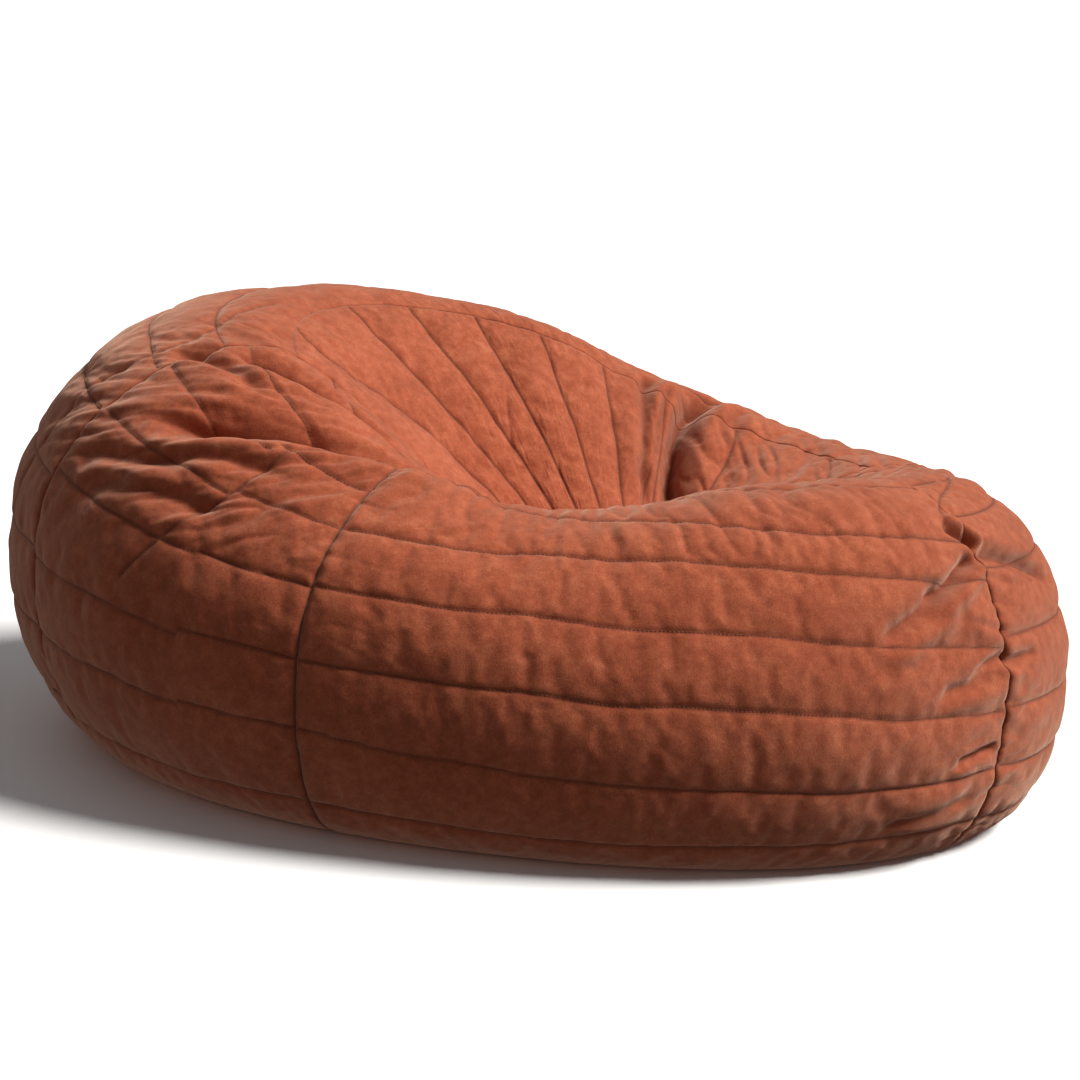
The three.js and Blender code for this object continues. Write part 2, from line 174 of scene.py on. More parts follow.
def streaks(u, v, across, along, seed, sharp=0.75):
    # long narrow valleys, about one per "across" metres, each about "along" metres long
    flat = np.stack([u / across, v / along, np.full_like(u, seed * 0.37)], -1)
    fine = np.stack([u / across * 2.1, v / along * 1.7, np.full_like(u, seed * 0.73)], -1)
    wave = valueNoise(flat, 1, seed) + 0.35 * valueNoise(fine, 1, seed + 1)
    return np.abs(wave) ** sharp - 0.45


zipSlot = {"height": 0.080, "halfOpen": 0.0072, "start": -5 * math.pi / 24, "end": 3 * math.pi / 24}
columnEdges = [
    seams["leftBack"], seams["leftFront"], seams["rightFront"], seams["rightBack"],
    seams["leftBack"] + 2 * math.pi,
]


def countFor(length, step, multiple=12):
    return max(multiple, int(round(length / step / multiple)) * multiple)


columnAngles = [columnEdges[0]]
panelColumns = []
for start, end in zip(columnEdges[:-1], columnEdges[1:]):
    path = rawSurface(np.linspace(start, end, 200), 2.2)
    length = np.linalg.norm(np.diff(path, axis=0), axis=1).sum()
    count = countFor(length, gridSize["columnStep"])
    panelColumns.append((len(columnAngles) - 1, len(columnAngles) - 1 + count))
    columnAngles += list(np.linspace(start, end, count + 1)[1:])
columnAngles = np.array(columnAngles)


def zipOpening(a):
    # half the height of the slot at angle a: open along the zip, pinched shut past its ends
    fromMiddle = np.abs(a - math.pi - (zipSlot["start"] + zipSlot["end"]) / 2)
    half = (zipSlot["end"] - zipSlot["start"]) / 2
    return 0.0004 + zipSlot["halfOpen"] * ease((half + 0.012 - fromMiddle) / 0.03)


def rowGrid(a):
    # the row of every grid line at every column; two lines follow the edges of the zip's slot
    opening = zipOpening(a)
    low = rowAtHeight(a, zipSlot["height"] - opening)
    high = rowAtHeight(a, zipSlot["height"] + opening)
    bands = [(seams["base"], low, 0.15), (low, high, 0), (high, 2.0, 0.17),
             (2.0, seams["crest"], 0.47), (seams["crest"], seams["seat"], 0.38)]
    rows = [np.full_like(a, seams["base"])]
    marks = [0]
    for start, end, length in bands:
        count = countFor(length, gridSize["rowStep"]) if length else 1
        for k in range(1, count + 1):
            rows.append(start + (end - start) * k / count + 0 * a)
        marks.append(len(rows) - 1)
    return np.array(rows), marks


rowLines, rowMarks = rowGrid(columnAngles)
aGrid = np.broadcast_to(columnAngles, rowLines.shape)
sGrid = rowLines
surface = bagSurface(aGrid, sGrid)
normal, perAngle, perRow = surfaceFrame(aGrid, sGrid)
aSigned = np.where(aGrid > math.pi, aGrid - 2 * math.pi, aGrid)     # -pi at the back, + to the right
around = aSigned * 0.62                                             # rough metres round the bag
upward = np.concatenate([np.zeros((1, aGrid.shape[1])),
                         np.cumsum(np.linalg.norm(np.diff(surface, axis=0), axis=-1), axis=0)])
print("cover grid:", aGrid.shape)


# rows of the sewn channels, from the lowest up; the front ones bow, the others run level
channelRows = {
    "front": {
        "angles": (-0.86, -0.40, -0.05, 0.28, 0.72),
        "rows": (
            (1.44, 1.45, 1.46, 1.48, 1.53),
            (1.77, 1.78, 1.795, 1.81, 1.85),
            (2.01, 2.08, 2.11, 2.11, 2.08),
            (2.29, 2.37, 2.35, 2.315, 2.26),
            (2.54, 2.66, 2.61, 2.53, 2.46),
            (3.04, 2.95, 2.82, 2.69, 2.60),
            (3.30, 3.22, 3.12, 3.02, 2.90),
            (3.52, 3.48, 3.42, 3.36, 3.28),
        ),
    },
    "leftFore": {"angles": (-1.10, -0.86), "rows": (
        (1.43, 1.44), (1.765, 1.77), (2.01, 2.01), (2.265, 2.28), (2.525, 2.54),
        (2.755, 2.76), (2.95, 2.93), (3.22, 3.22), (3.47, 3.47))},
    "leftAft": {"angles": (-1.53, -1.10), "rows": (
        (1.43, 1.42), (1.76, 1.75), (2.00, 1.99), (2.27, 2.255), (2.50, 2.50),
        (2.735, 2.71), (2.97, 2.985), (3.22, 3.22), (3.47, 3.47))},
    "right": {"angles": (0.72, 1.40), "rows": (
        (1.53, 1.56), (1.86, 1.88), (2.09, 2.10), (2.29, 2.32), (2.50, 2.54),
        (2.72, 2.78), (2.95, 3.00), (3.20, 3.22), (3.46, 3.46))},
    "back": {"angles": (1.40, 2.2, 3.9, 4.753), "rows": (
        (1.83, 1.80, 1.78, 1.77), (2.06, 2.04, 2.03, 2.02), (2.28, 2.26, 2.25, 2.24),
        (2.50, 2.48, 2.47, 2.48), (2.72, 2.69, 2.68, 2.70), (2.94, 2.90, 2.88, 2.90))},
}
backrestPitch = {"first": -0.40, "step": 0.1035, "count": 9}

# lines that cross the channels, as points (angle, row)
crossStitches = {
    "leftDart": ((-1.24, 2.10), (-1.17, 2.30), (-1.10, 2.52), (-1.07, 2.74), (-0.96, 3.00),
                 (-0.9, 3.2)),
    "crestBand": ((-1.70, 2.05), (-1.66, 2.35), (-1.655, 2.50), (-1.61, 2.70), (-1.65, 2.88),
                  (-1.86, 3.02)),
    "rightDart": ((0.66, 2.66), (0.76, 2.83), (0.98, 2.95), (1.29, 3.03), (1.36, 3.2)),
}


def curveBetween(a, b, c, d, t):
    # the smooth curve from b to c at share t, led by its neighbours a and d
    return 0.5 * (2 * b + (c - a) * t + (2 * a - 5 * b + 4 * c - d) * t**2
                  + (3 * b - a - 3 * c + d) * t**3)


def smoothPath(points, steps=7):
    p = np.array(points, float)
    p = np.vstack([2 * p[0] - p[1], p, 2 * p[-1] - p[-2]])
    out = []
    for i in range(1, len(p) - 2):
        for t in np.linspace(0, 1, steps, endpoint=False):
            out.append(curveBetween(*p[i - 1:i + 3], t))
    out.append(p[-2])
    return np.array(out)


def pathDistance(points, reach=0.16):
    # metres from every grid point to the path, its side of the path (+ above), and how far along
    path = smoothPath(points)
    near = np.full(aGrid.shape, 9.0)
    side = np.zeros(aGrid.shape)
    along = np.zeros(aGrid.shape)
    middle = path[:, 0].mean()
    turned = aSigned + 2 * math.pi * np.round((middle - aSigned) / (2 * math.pi))
    spread = reach / 0.45 + np.ptp(path[:, 0]) / 2
    box = (np.abs(turned - middle) < spread + 0.1)
    box &= (sGrid > path[:, 1].min() - reach / 0.3) & (sGrid < path[:, 1].max() + reach / 0.3)
    ta, ts, la, ls = turned[box], sGrid[box], perAngle[box], perRow[box]
    best = near[box]
    bestSide = side[box]
    bestAlong = along[box]
    for i in range(len(path) - 1):
        dx = (path[i + 1, 0] - path[i, 0]) * la
        dy = (path[i + 1, 1] - path[i, 1]) * ls
        px = (ta - path[i, 0]) * la
        py = (ts - path[i, 1]) * ls
        t = np.clip((px * dx + py * dy) / np.maximum(dx * dx + dy * dy, 1e-12), 0, 1)
        d = np.hypot(px - t * dx, py - t * dy)
        closer = d < best
        best = np.where(closer, d, best)
        bestSide = np.where(closer, np.sign(dx * py - dy * px), bestSide)
        bestAlong = np.where(closer, (i + t) / (len(path) - 1), bestAlong)
    near[box] = best
    side[box] = bestSide
    along[box] = bestAlong
    return near, side, along


def columnMask(start, end):
    return (aGrid >= start) & (aGrid <= end)


wobble = 0.004 * valueNoise(surface, 0.09, 11)
# on the backrest the channels run down into the seat, drawn together as they go
sink = ease((sGrid - 3.02) / 0.80)
backrestPlace = (surface[..., 0] + planCentre[0] - 0.06 * sink) / (1 - 0.72 * sink)


def channelDistance():
    near = np.full(aGrid.shape, 9.0)
    spans = {
        "front": (seams["leftFront"], seams["rightFront"]),
        "leftFore": (seams["leftDart"], seams["leftFront"]),
        "leftAft": (seams["leftBack"], seams["leftDart"]),
        "right": (seams["rightFront"], seams["rightBack"]),
        "back": (seams["rightBack"], seams["leftBack"] + 2 * math.pi),
    }
    inBackrest = columnMask(*spans["back"]) & (sGrid > seams["crest"])
    for name, (start, end) in spans.items():
        zone = columnMask(start, end) & ~inBackrest
        table = channelRows[name]
        for rows in table["rows"]:
            level = np.interp(aGrid[zone], table["angles"], rows)
            d = np.abs((sGrid[zone] - level) * perRow[zone] + wobble[zone])
            near[zone] = np.minimum(near[zone], d)
    u = backrestPlace
    du = np.gradient(u, axis=1) / np.maximum(np.gradient(aGrid, axis=1) * perAngle, 1e-6)
    dv = np.gradient(u, axis=0) / np.maximum(np.gradient(sGrid, axis=0) * perRow, 1e-6)
    steep = np.maximum(np.hypot(du, dv), 0.3)
    p = backrestPitch
    k = np.clip(np.round((u - p["first"]) / p["step"]), 0, p["count"] - 1)
    d = np.abs(u - p["first"] - k * p["step"] + wobble * 0.8) / steep
    near = np.where(inBackrest, np.minimum(near, d), near)
    return near


def seamDistance():
    near = np.full(aGrid.shape, 9.0)
    near = np.minimum(near, np.abs(aGrid - seams["leftFront"]) * perAngle)
    above = 0.006 * ease((sGrid - 2.60) / 0.08)
    near = np.minimum(near, np.abs(aGrid - seams["rightFront"]) * perAngle + above)
    near = np.minimum(near, np.abs(aGrid - seams["rightBack"]) * perAngle + 0.003)
    for angle in (seams["leftBack"], seams["leftBack"] + 2 * math.pi):
        near = np.minimum(near, np.abs(aGrid - angle) * perAngle + 0.002)
    backColumns = columnMask(seams["rightBack"], seams["leftBack"] + 2 * math.pi)
    near = np.minimum(near, (sGrid - seams["base"]) * perRow)
    near = np.minimum(near, np.abs(seams["seat"] - sGrid) * perRow)
    crest = np.where(backColumns, np.abs(sGrid - seams["crest"]) * perRow + 0.0045, 9.0)
    closed = np.where(backColumns & (zipOpening(aGrid) < 0.002),
                      np.abs(sGrid - rowAtHeight(aGrid, zipSlot["height"])) * perRow, 9.0)
    return np.minimum(near, np.minimum(crest, closed))


# each fold: points (angle, row), depth and half width of its valley, swell of its upper and lower
# banks, in metres; it fades in and out over its ends
folds = {
    "leftMain": {"points": ((-1.42, 2.50), (-1.31, 2.66), (-1.20, 2.82), (-1.09, 2.95), (-0.96, 3.05),
                            (-0.80, 3.12), (-0.62, 3.14), (-0.44, 3.12)),
                 "depth": 0.056, "width": 0.024, "banks": (0.006, 0.021)},
    "leftUpper": {"points": ((-1.50, 2.90), (-1.42, 3.02), (-1.34, 3.12), (-1.24, 3.22), (-1.10, 3.32)),
                  "depth": 0.020, "width": 0.015, "banks": (0.010, 0.012)},
    "leftTongue": {"points": ((-1.60, 2.74), (-1.50, 2.84), (-1.40, 2.90), (-1.30, 2.93)),
                   "depth": 0.012, "width": 0.012, "banks": (0.006, 0.006)},
    "leftFan": {"points": ((-1.36, 2.40), (-1.26, 2.52), (-1.14, 2.62), (-1.00, 2.68)),
                "depth": 0.009, "width": 0.011, "banks": (0.004, 0.005)},
    "leftFanLow": {"points": ((-1.44, 2.26), (-1.34, 2.34), (-1.20, 2.40), (-1.05, 2.42)),
                   "depth": 0.008, "width": 0.012, "banks": (0.004, 0.004)},
    "leftLow": {"points": ((-1.52, 2.30), (-1.42, 2.40), (-1.30, 2.47), (-1.16, 2.50)),
                "depth": 0.008, "width": 0.014, "banks": (0.004, 0.004)},
    "rightMain": {"points": ((2.17, 2.86), (2.14, 3.04), (2.12, 3.22), (2.06, 3.42), (1.9, 3.62)),
                  "depth": 0.046, "width": 0.019, "banks": (0.012, 0.014)},
    "rightPleatA": {"points": ((2.36, 2.98), (2.32, 3.16), (2.26, 3.40), (2.16, 3.62)),
                    "depth": 0.018, "width": 0.012, "banks": (0.005, 0.007)},
    "rightPleatB": {"points": ((2.25, 3.02), (2.22, 3.22), (2.18, 3.44)),
                    "depth": 0.010, "width": 0.010, "banks": (0.004, 0.004)},
    "rightPleatC": {"points": ((2.00, 2.96), (1.98, 3.12), (1.95, 3.26)),
                    "depth": 0.007, "width": 0.012, "banks": (0.003, 0.004)},
    "tongueTop": {"points": ((0.66, 2.68), (0.71, 2.63), (0.725, 2.56)),
                  "depth": 0.015, "width": 0.007, "banks": (0.008, 0.002)},
    "tongueUnder": {"points": ((0.725, 2.56), (0.66, 2.52), (0.59, 2.46), (0.50, 2.43)),
                    "depth": 0.022, "width": 0.009, "banks": (0.012, 0.001)},
    "tongueTail": {"points": ((0.58, 2.45), (0.48, 2.38), (0.36, 2.30)),
                   "depth": 0.014, "width": 0.013, "banks": (0.009, 0.001)},
    "cornerA": {"points": ((0.70, 2.555), (0.80, 2.545), (0.92, 2.48), (1.04, 2.38)),
                "depth": 0.018, "width": 0.010, "banks": (0.007, 0.004)},
    "cornerB": {"points": ((0.74, 2.52), (0.82, 2.50), (0.92, 2.42)),
                "depth": 0.007, "width": 0.007, "banks": (0.003, 0.002)},
    "seamPinch": {"points": ((0.60, 2.20), (0.70, 2.235), (0.74, 2.22), (0.86, 2.235)),
                  "depth": 0.012, "width": 0.007, "banks": (0.002, 0.004)},
    "seamPinchLow": {"points": ((0.50, 2.15), (0.62, 2.18), (0.72, 2.205)),
                     "depth": 0.009, "width": 0.010, "banks": (0.002, 0.003)},
    "seamPinchMid": {"points": ((0.56, 1.93), (0.64, 1.955), (0.71, 1.985)),
                     "depth": 0.009, "width": 0.008, "banks": (0.002, 0.003)},
    "seamPinchBase": {"points": ((0.42, 1.60), (0.55, 1.66), (0.68, 1.73)),
                      "depth": 0.008, "width": 0.010, "banks": (0.002, 0.003)},
}


def foldRelief():
    relief = np.zeros(aGrid.shape)
    shade = np.zeros(aGrid.shape)
    for fold in folds.values():
        near, side, along = pathDistance(fold["points"])
        fade = ease(along / 0.22) * ease((1 - along) / 0.25)
        w = fold["width"]
        valley = 1 / (1 + (near / w) ** 2.2)
        upper, lower = fold["banks"]
        bank = np.where(side > 0, upper, lower)
        swell = bank * np.exp(-((near / w - 2.2) / 1.5) ** 2)
        relief += fade * (swell - fold["depth"] * valley)
        # painted shade for the colour, strongest in the fold's valley
        shade = np.maximum(shade, fade * np.exp(-(near / w / 0.7) ** 2) * min(1, fold["depth"] / 0.02))
    return relief, shade


def windowed(aLow, aHigh, sLow, sHigh, aSoft=0.12, sSoft=0.12):
    inside = ease((aSigned - aLow) / aSoft + 0.5) * ease((aHigh - aSigned) / aSoft + 0.5)
    return inside * ease((sGrid - sLow) / sSoft + 0.5) * ease((sHigh - sGrid) / sSoft + 0.5)


# each set of wrinkles: its height, the spacing across and the length along, in metres, and its seed
wrinkleShape = {
    "arm": {"height": 0.0085, "across": 0.030, "along": 0.15, "seed": 7},
    "armFine": {"height": 0.0035, "across": 0.015, "along": 0.09, "seed": 9},
    "crush": {"height": 0.0065, "across": 0.026, "along": 0.12, "seed": 13},
    "backrest": {"height": 0.0055, "across": 0.050, "along": 0.22, "seed": 15, "sharp": 1.0},
    "rim": {"height": 0.0062, "across": 0.034, "along": 0.07, "seed": 17},
    "allOver": {"height": 0.0014, "across": 0.045, "along": 0.06, "seed": 19, "sharp": 1.0},
}
seamGather = {"height": 0.0140, "across": 0.024, "along": 0.10, "reach": 0.055, "sharp": 0.8}


def wrinkled(name, weight, u, v):
    k = wrinkleShape[name]
    sharp = k.get("sharp", 0.75)
    return weight * k["height"] * streaks(u, v, k["across"], k["along"], k["seed"], sharp)


def wrinkleRelief():
    relief = np.zeros(aGrid.shape)
    k = seamGather
    # gathers that run out sideways from the two front seams
    for angle, strength, seed in ((seams["rightFront"], 1.0, 3), (seams["leftFront"], 0.45, 5)):
        offset = (aSigned - angle) * perAngle
        spread = np.exp(-np.abs(offset) / k["reach"])
        level = upward + 0.25 * offset * np.sign(sGrid - 2.1)
        gather = streaks(level, offset, k["across"], k["along"], seed, k["sharp"])
        patch = 0.55 + 0.45 * valueNoise(surface, 0.11, seed + 20)
        relief += strength * k["height"] * gather * spread * patch * windowed(-1.6, 1.6, 1.15, 3.0)
    # compression wrinkles over the left arm, slanting down from the main crease
    slant = around * 0.80 + upward * 0.60
    across = -around * 0.60 + upward * 0.80
    bent = slant + 0.03 * valueNoise(surface, 0.16, 31)
    arm = windowed(-1.75, -0.88, 2.30, 3.05, 0.25, 0.25)
    relief += wrinkled("arm", arm, across + 0.25 * around, bent)
    relief += wrinkled("armFine", arm, across, bent)
    # finer crush along the inner side of the right arm
    crush = windowed(0.75, 2.05, 2.75, 3.70, 0.25, 0.2)
    relief += wrinkled("crush", crush, around * 0.5 + upward * 0.87, around * 0.87 - upward * 0.5)
    # soft folds hanging down the backrest between its channels
    backFold = ease((sGrid - 3.05) / 0.2) * ((aSigned > 2.2) | (aSigned < -1.75))
    sideways = surface[..., 0] + 0.03 * valueNoise(surface, 0.2, 41)
    relief += wrinkled("backrest", backFold, sideways, upward)
    # puckers across the front rim, just above its last channels
    rim = windowed(-0.85, 0.55, 2.60, 3.15, 0.15, 0.12)
    relief += wrinkled("rim", rim, around, upward)
    # shallow puckers all over, along every stitched line and off it
    relief += wrinkled("allOver", 1, around, upward)
    relief += 0.0016 * valueNoise(surface, 0.022, 21)
    return relief


def lumpRelief():
    broad = 0.006 * valueNoise(surface, 0.21, 23) + 0.0035 * valueNoise(surface, 0.09, 25)
    return broad * ease((sGrid - 1.05) / 0.5)


puff = {"channel": 0.0046, "channelSoft": 0.014, "channelCut": 0.0022, "channelCutSoft": 0.0032,
        "seam": 0.0045, "seamSoft": 0.012, "seamCut": 0.0034, "seamCutSoft": 0.0032, "crown": 0.0015}

channel = channelDistance()
seamNear = seamDistance()
crossNear = np.full(aGrid.shape, 9.0)
for points in crossStitches.values():
    crossNear = np.minimum(crossNear, pathDistance(points)[0])
seamNear = np.minimum(seamNear, crossNear + 0.001)
channelNear = np.minimum(channel, crossNear)
pinch = 1 + 0.45 * valueNoise(surface, 0.06, 29)
channelDip = pinch * puff["channel"] * np.exp(-channelNear / puff["channelSoft"])
channelDip += puff["channelCut"] * np.exp(-channelNear / puff["channelCutSoft"])
seamDip = puff["seam"] * np.exp(-seamNear / puff["seamSoft"])
seamDip += puff["seamCut"] * np.exp(-seamNear / puff["seamCutSoft"])
channelDip *= ease((sGrid - 1.25) / 0.2) * (0.75 + 0.5 * ease((sGrid - 2.2) / 0.5))
foldHeight, foldShade = foldRelief()
flatBase = ease((sGrid - 1.06) / 0.35)
cutDip = np.maximum(puff["channelCut"] * np.exp(-channelNear / puff["channelCutSoft"])
                    * ease((sGrid - 1.25) / 0.2),
                    puff["seamCut"] * np.exp(-seamNear / puff["seamCutSoft"]))
stitchNear = np.minimum(channelNear, seamNear)
wrinkles = wrinkleRelief() * flatBase


# the cover is let go as cloth, held along its stitches and blown out by the fill, with more slack
# where the bag is bunched up; a slack is a share of the cloth's own size, and stitchReach and
# mostMove are in metres
clothRun = {"step": 3, "frames": 20, "quality": 4, "mass": 0.3, "stretch": 25, "shear": 8, "bend": 1.4,
            "pressure": 6, "slackLow": 0.005, "slackHigh": 0.09, "stitchReach": 0.0072,
            "mostMove": 0.016}


floorGap = 0.0006       # the lowest cloth stands this far off the floor


def quadGrid(index):
    a, b = index[:-1, :-1].ravel(), index[:-1, 1:].ravel()
    c, d = index[1:, 1:].ravel(), index[1:, :-1].ravel()
    return np.stack([a, b, c, d], -1)


def closedRound(index):
    return np.concatenate([index, index[:, :1]], axis=1)


def groupLevels(obj, name, values):
    group = obj.vertex_groups.new(name=name)
    levels = np.round(values, 2)
    for level in np.unique(levels):
        group.add(np.nonzero(levels == level)[0].tolist(), float(level), "REPLACE")


def clothRelax(relief, held, loose):
    # returns how far the cloth moves each grid point, as vectors
    k = clothRun
    rows = (list(range(rowMarks[1] + 1)) + list(range(rowMarks[2] + 1, rowLines.shape[0])))[::k["step"]]
    columns = list(range(0, aGrid.shape[1] - 1, k["step"]))
    pick = np.ix_(rows, columns)
    start = (surface + normal * relief[..., None])[pick]
    start[..., 2] = np.maximum(start[..., 2], floorGap)
    count, width = start.shape[:2]
    index = np.arange(count * width).reshape(count, width)
    quads = quadGrid(closedRound(index))
    mesh = bpy.data.meshes.new("loose_cloth")
    mesh.from_pydata(start.reshape(-1, 3).tolist(), [], quads.tolist())
    obj = bpy.data.objects.new("loose_cloth", mesh)
    scene.collection.objects.link(obj)
    groupLevels(obj, "held", held[pick].ravel())
    groupLevels(obj, "loose", loose[pick].ravel())
    modifier = obj.modifiers.new("cloth", "CLOTH")
    cloth = modifier.settings
    cloth.quality = k["quality"]
    cloth.mass = k["mass"]
    cloth.tension_stiffness = k["stretch"]
    cloth.compression_stiffness = k["stretch"]
    cloth.shear_stiffness = k["shear"]
    cloth.bending_stiffness = k["bend"]
    cloth.vertex_group_mass = "held"
    cloth.pin_stiffness = 1.0
    cloth.use_pressure = True
    cloth.uniform_pressure_force = k["pressure"]
    cloth.vertex_group_shrink = "loose"
    cloth.shrink_min = -k["slackLow"]
    cloth.shrink_max = -k["slackHigh"]
    cloth.effector_weights.gravity = 0
    modifier.collision_settings.use_collision = False
    modifier.point_cache.frame_start = 1
    modifier.point_cache.frame_end = k["frames"]
    for step in range(1, k["frames"] + 1):
        scene.frame_set(step)
    settled = obj.evaluated_get(bpy.context.evaluated_depsgraph_get()).to_mesh()
    flat = np.empty(count * width * 3, np.float32)
    settled.vertices.foreach_get("co", flat)
    move = flat.reshape(count, width, 3) - start
    bpy.data.objects.remove(obj)
    scene.frame_set(1)
    size = np.linalg.norm(move, axis=-1, keepdims=True)
    move = move * k["mostMove"] * np.tanh(size / k["mostMove"]) / np.maximum(size, 1e-9)
    return spreadMoves(move, rows, columns)


def spreadMoves(move, rows, columns):
    # smooth interpolation from the cloth's grid to the full one, first along rows and then up
    gap = clothRun["step"]
    closed = np.concatenate([move[:, -1:], move, move[:, :2]], axis=1)
    places = np.array([columns[0] - gap] + columns + [columns[-1] + gap, columns[-1] + 2 * gap], float)
    wide = splineAlong(closed.transpose(1, 0, 2), places, np.arange(aGrid.shape[1]))
    wide = wide.transpose(1, 0, 2)
    ends = np.concatenate([wide[:1], wide, wide[-1:]])
    levels = np.array([rows[0] - gap] + rows + [rows[-1] + gap], float)
    return splineAlong(ends, levels, np.arange(aGrid.shape[0]))


def splineAlong(values, places, wanted):
    cell = np.clip(np.searchsorted(places, wanted, side="right") - 1, 1, len(places) - 3)
    t = ((wanted - places[cell]) / (places[cell + 1] - places[cell]))[:, None, None]
    return curveBetween(*(values[cell + shift] for shift in (-1, 0, 1, 2)), t)


def clothGroups():
    held = np.where(stitchNear < clothRun["stitchReach"], 1.0, 0.02)
    held = np.where(sGrid < 1.3, np.maximum(held, 1 - ease((sGrid - 1.1) / 0.25) * 0.98), held)
    held[0] = 1
    held[-1] = 1
    beside = 1 - (np.abs(surface[..., 2] - zipSlot["height"]) - zipOpening(aGrid)) / 0.03
    byZip = ease(beside) * ease((zipOpening(aGrid) - 0.001) / 0.004) * (sGrid < 2)
    held = np.maximum(held, byZip)
    loose = windowed(-1.75, -0.90, 2.20, 3.10, 0.3, 0.3)
    loose = np.maximum(loose, windowed(0.45, 1.10, 1.30, 2.90, 0.3, 0.2) * 0.9)
    loose = np.maximum(loose, windowed(0.90, 2.30, 2.70, 3.70, 0.3, 0.2) * 0.9)
    return held, loose


relief = foldHeight + lumpRelief() - 0.0015 * np.exp(-stitchNear / 0.006)
relief += 0.95 * wrinkles
held, loose = clothGroups()
clothMove = clothRelax(relief, held, loose)
relief = relief - cutDip
along = (clothMove * normal).sum(-1)
clothMove = clothMove - normal * along[..., None]
relief = relief + along
print("relief from", round(float(relief.min()), 4), "to", round(float(relief.max()), 4))


def zipCircle():
    start, end = math.pi + zipSlot["start"], math.pi + zipSlot["end"]
    angles = np.array([start, (start + end) / 2, end])
    rows = rowAtHeight(angles, zipSlot["height"])
    skin = surfaceFrame(angles, rows)[0]
    p, q, r = bagSurface(angles, rows) - skin * 0.004
    d = 2 * (p[0] * (q[1] - r[1]) + q[0] * (r[1] - p[1]) + r[0] * (p[1] - q[1]))
    pp, qq, rr = p[:2] @ p[:2], q[:2] @ q[:2], r[:2] @ r[:2]
    x = (pp * (q[1] - r[1]) + qq * (r[1] - p[1]) + rr * (p[1] - q[1])) / d
    y = (pp * (r[0] - q[0]) + qq * (p[0] - r[0]) + rr * (q[0] - p[0])) / d
    ends = [math.atan2(v[1] - y, v[0] - x) for v in (p, r)]
    return np.array([x, y]), math.hypot(p[0] - x, p[1] - y), ends


arcCentre, arcRadius, arcEnds = zipCircle()

# beside the slot the cloth is held at the zip's own radius, folded down onto the tapes
lip = {"stand": 0.0030, "reach": 0.020, "gap": 0.0006, "bend": 0.004}
radial = np.hypot(surface[..., 0] - arcCentre[0], surface[..., 1] - arcCentre[1])
nearSlot = np.abs(surface[..., 2] - zipSlot["height"]) - zipOpening(aGrid)
lipWeight = ease(1 - nearSlot / lip["reach"]) * ease((zipOpening(aGrid) - 0.0010) / 0.004)
lipWeight *= (sGrid < 2.0)
roll = lip["stand"] * np.sqrt(np.clip(nearSlot / lip["bend"], 0, 1))
slopeOut = np.clip(np.hypot(normal[..., 0], normal[..., 1]), 0.5, 1)
lipRelief = (arcRadius + lip["gap"] + roll - radial) / slopeOut
relief = relief * (1 - lipWeight) + lipRelief * lipWeight

points = surface + normal * relief[..., None] + clothMove * (1 - lipWeight)[..., None]
points[..., 2] = np.maximum(points[..., 2], floorGap)


def newMaterial(name):
    material = bpy.data.materials.new(name)
    material.use_nodes = True
    tree = material.node_tree
    shader = tree.nodes["Principled BSDF"]
    return material, tree, shader


def objectPlace(tree):
    return tree.nodes.new("ShaderNodeTexCoord").outputs["Object"]


def noiseNode(tree, place, scale, detail, roughness=0.5):
    node = tree.nodes.new("ShaderNodeTexNoise")
    node.inputs["Scale"].default_value = scale
    node.inputs["Detail"].default_value = detail
    node.inputs["Roughness"].default_value = roughness
    tree.links.new(place, node.inputs["Vector"])
    return node.outputs["Fac"]


def rampNode(tree, value, stops):
    node = tree.nodes.new("ShaderNodeValToRGB")
    ramp = node.color_ramp
    while len(ramp.elements) < len(stops):
        ramp.elements.new(0.5)
    for element, (position, colour) in zip(ramp.elements, stops):
        element.position = position
        element.color = (*colour, 1)
    tree.links.new(value, node.inputs["Fac"])
    return node.outputs["Color"]


def mixColours(tree, amount, first, second, kind="MIX"):
    node = tree.nodes.new("ShaderNodeMix")
    node.data_type = "RGBA"
    node.blend_type = kind
    for socket, value in ((node.inputs[0], amount), (node.inputs[6], first), (node.inputs[7], second)):
        if isinstance(value, (int, float)):
            socket.default_value = value
        elif isinstance(value, tuple):
            socket.default_value = (*value, 1)
        else:
            tree.links.new(value, socket)
    return node.outputs[2]


def mathNode(tree, kind, first, second=0.0):
    node = tree.nodes.new("ShaderNodeMath")
    node.operation = kind
    for socket, value in zip(node.inputs, (first, second)):
        if isinstance(value, (int, float)):
            socket.default_value = value
        else:
            tree.links.new(value, socket)
    return node.outputs[0]


def weightedSum(tree, *parts):
    total = None
    for value, weight in parts:
        part = mathNode(tree, "MULTIPLY", value, weight)
        total = part if total is None else mathNode(tree, "ADD", total, part)
    return total


def bumpNode(tree, height, strength, distance, under=None):
    node = tree.nodes.new("ShaderNodeBump")
    node.inputs["Strength"].default_value = strength
    node.inputs["Distance"].default_value = distance
    tree.links.new(height, node.inputs["Height"])
    if under:
        tree.links.new(under, node.inputs["Normal"])
    return node.outputs["Normal"]


# short-napped velour: clouds where the nap lies one way or the other, speckled with single fibres
velourLook = {
    "deep": (0.250, 0.052, 0.021),
    "mid": (0.360, 0.082, 0.036),
    "light": (0.490, 0.140, 0.068),
    # dark brown for painted shade in the stitched grooves and fold valleys
    "painted_groove_shade": (0.105, 0.022, 0.010),
    "sheen": 0.55,
    "sheenTint": (1.0, 0.70, 0.52),
    "sheenRoughness": 0.45,
    "roughness": 0.92,
    "specular": 0.12,
}


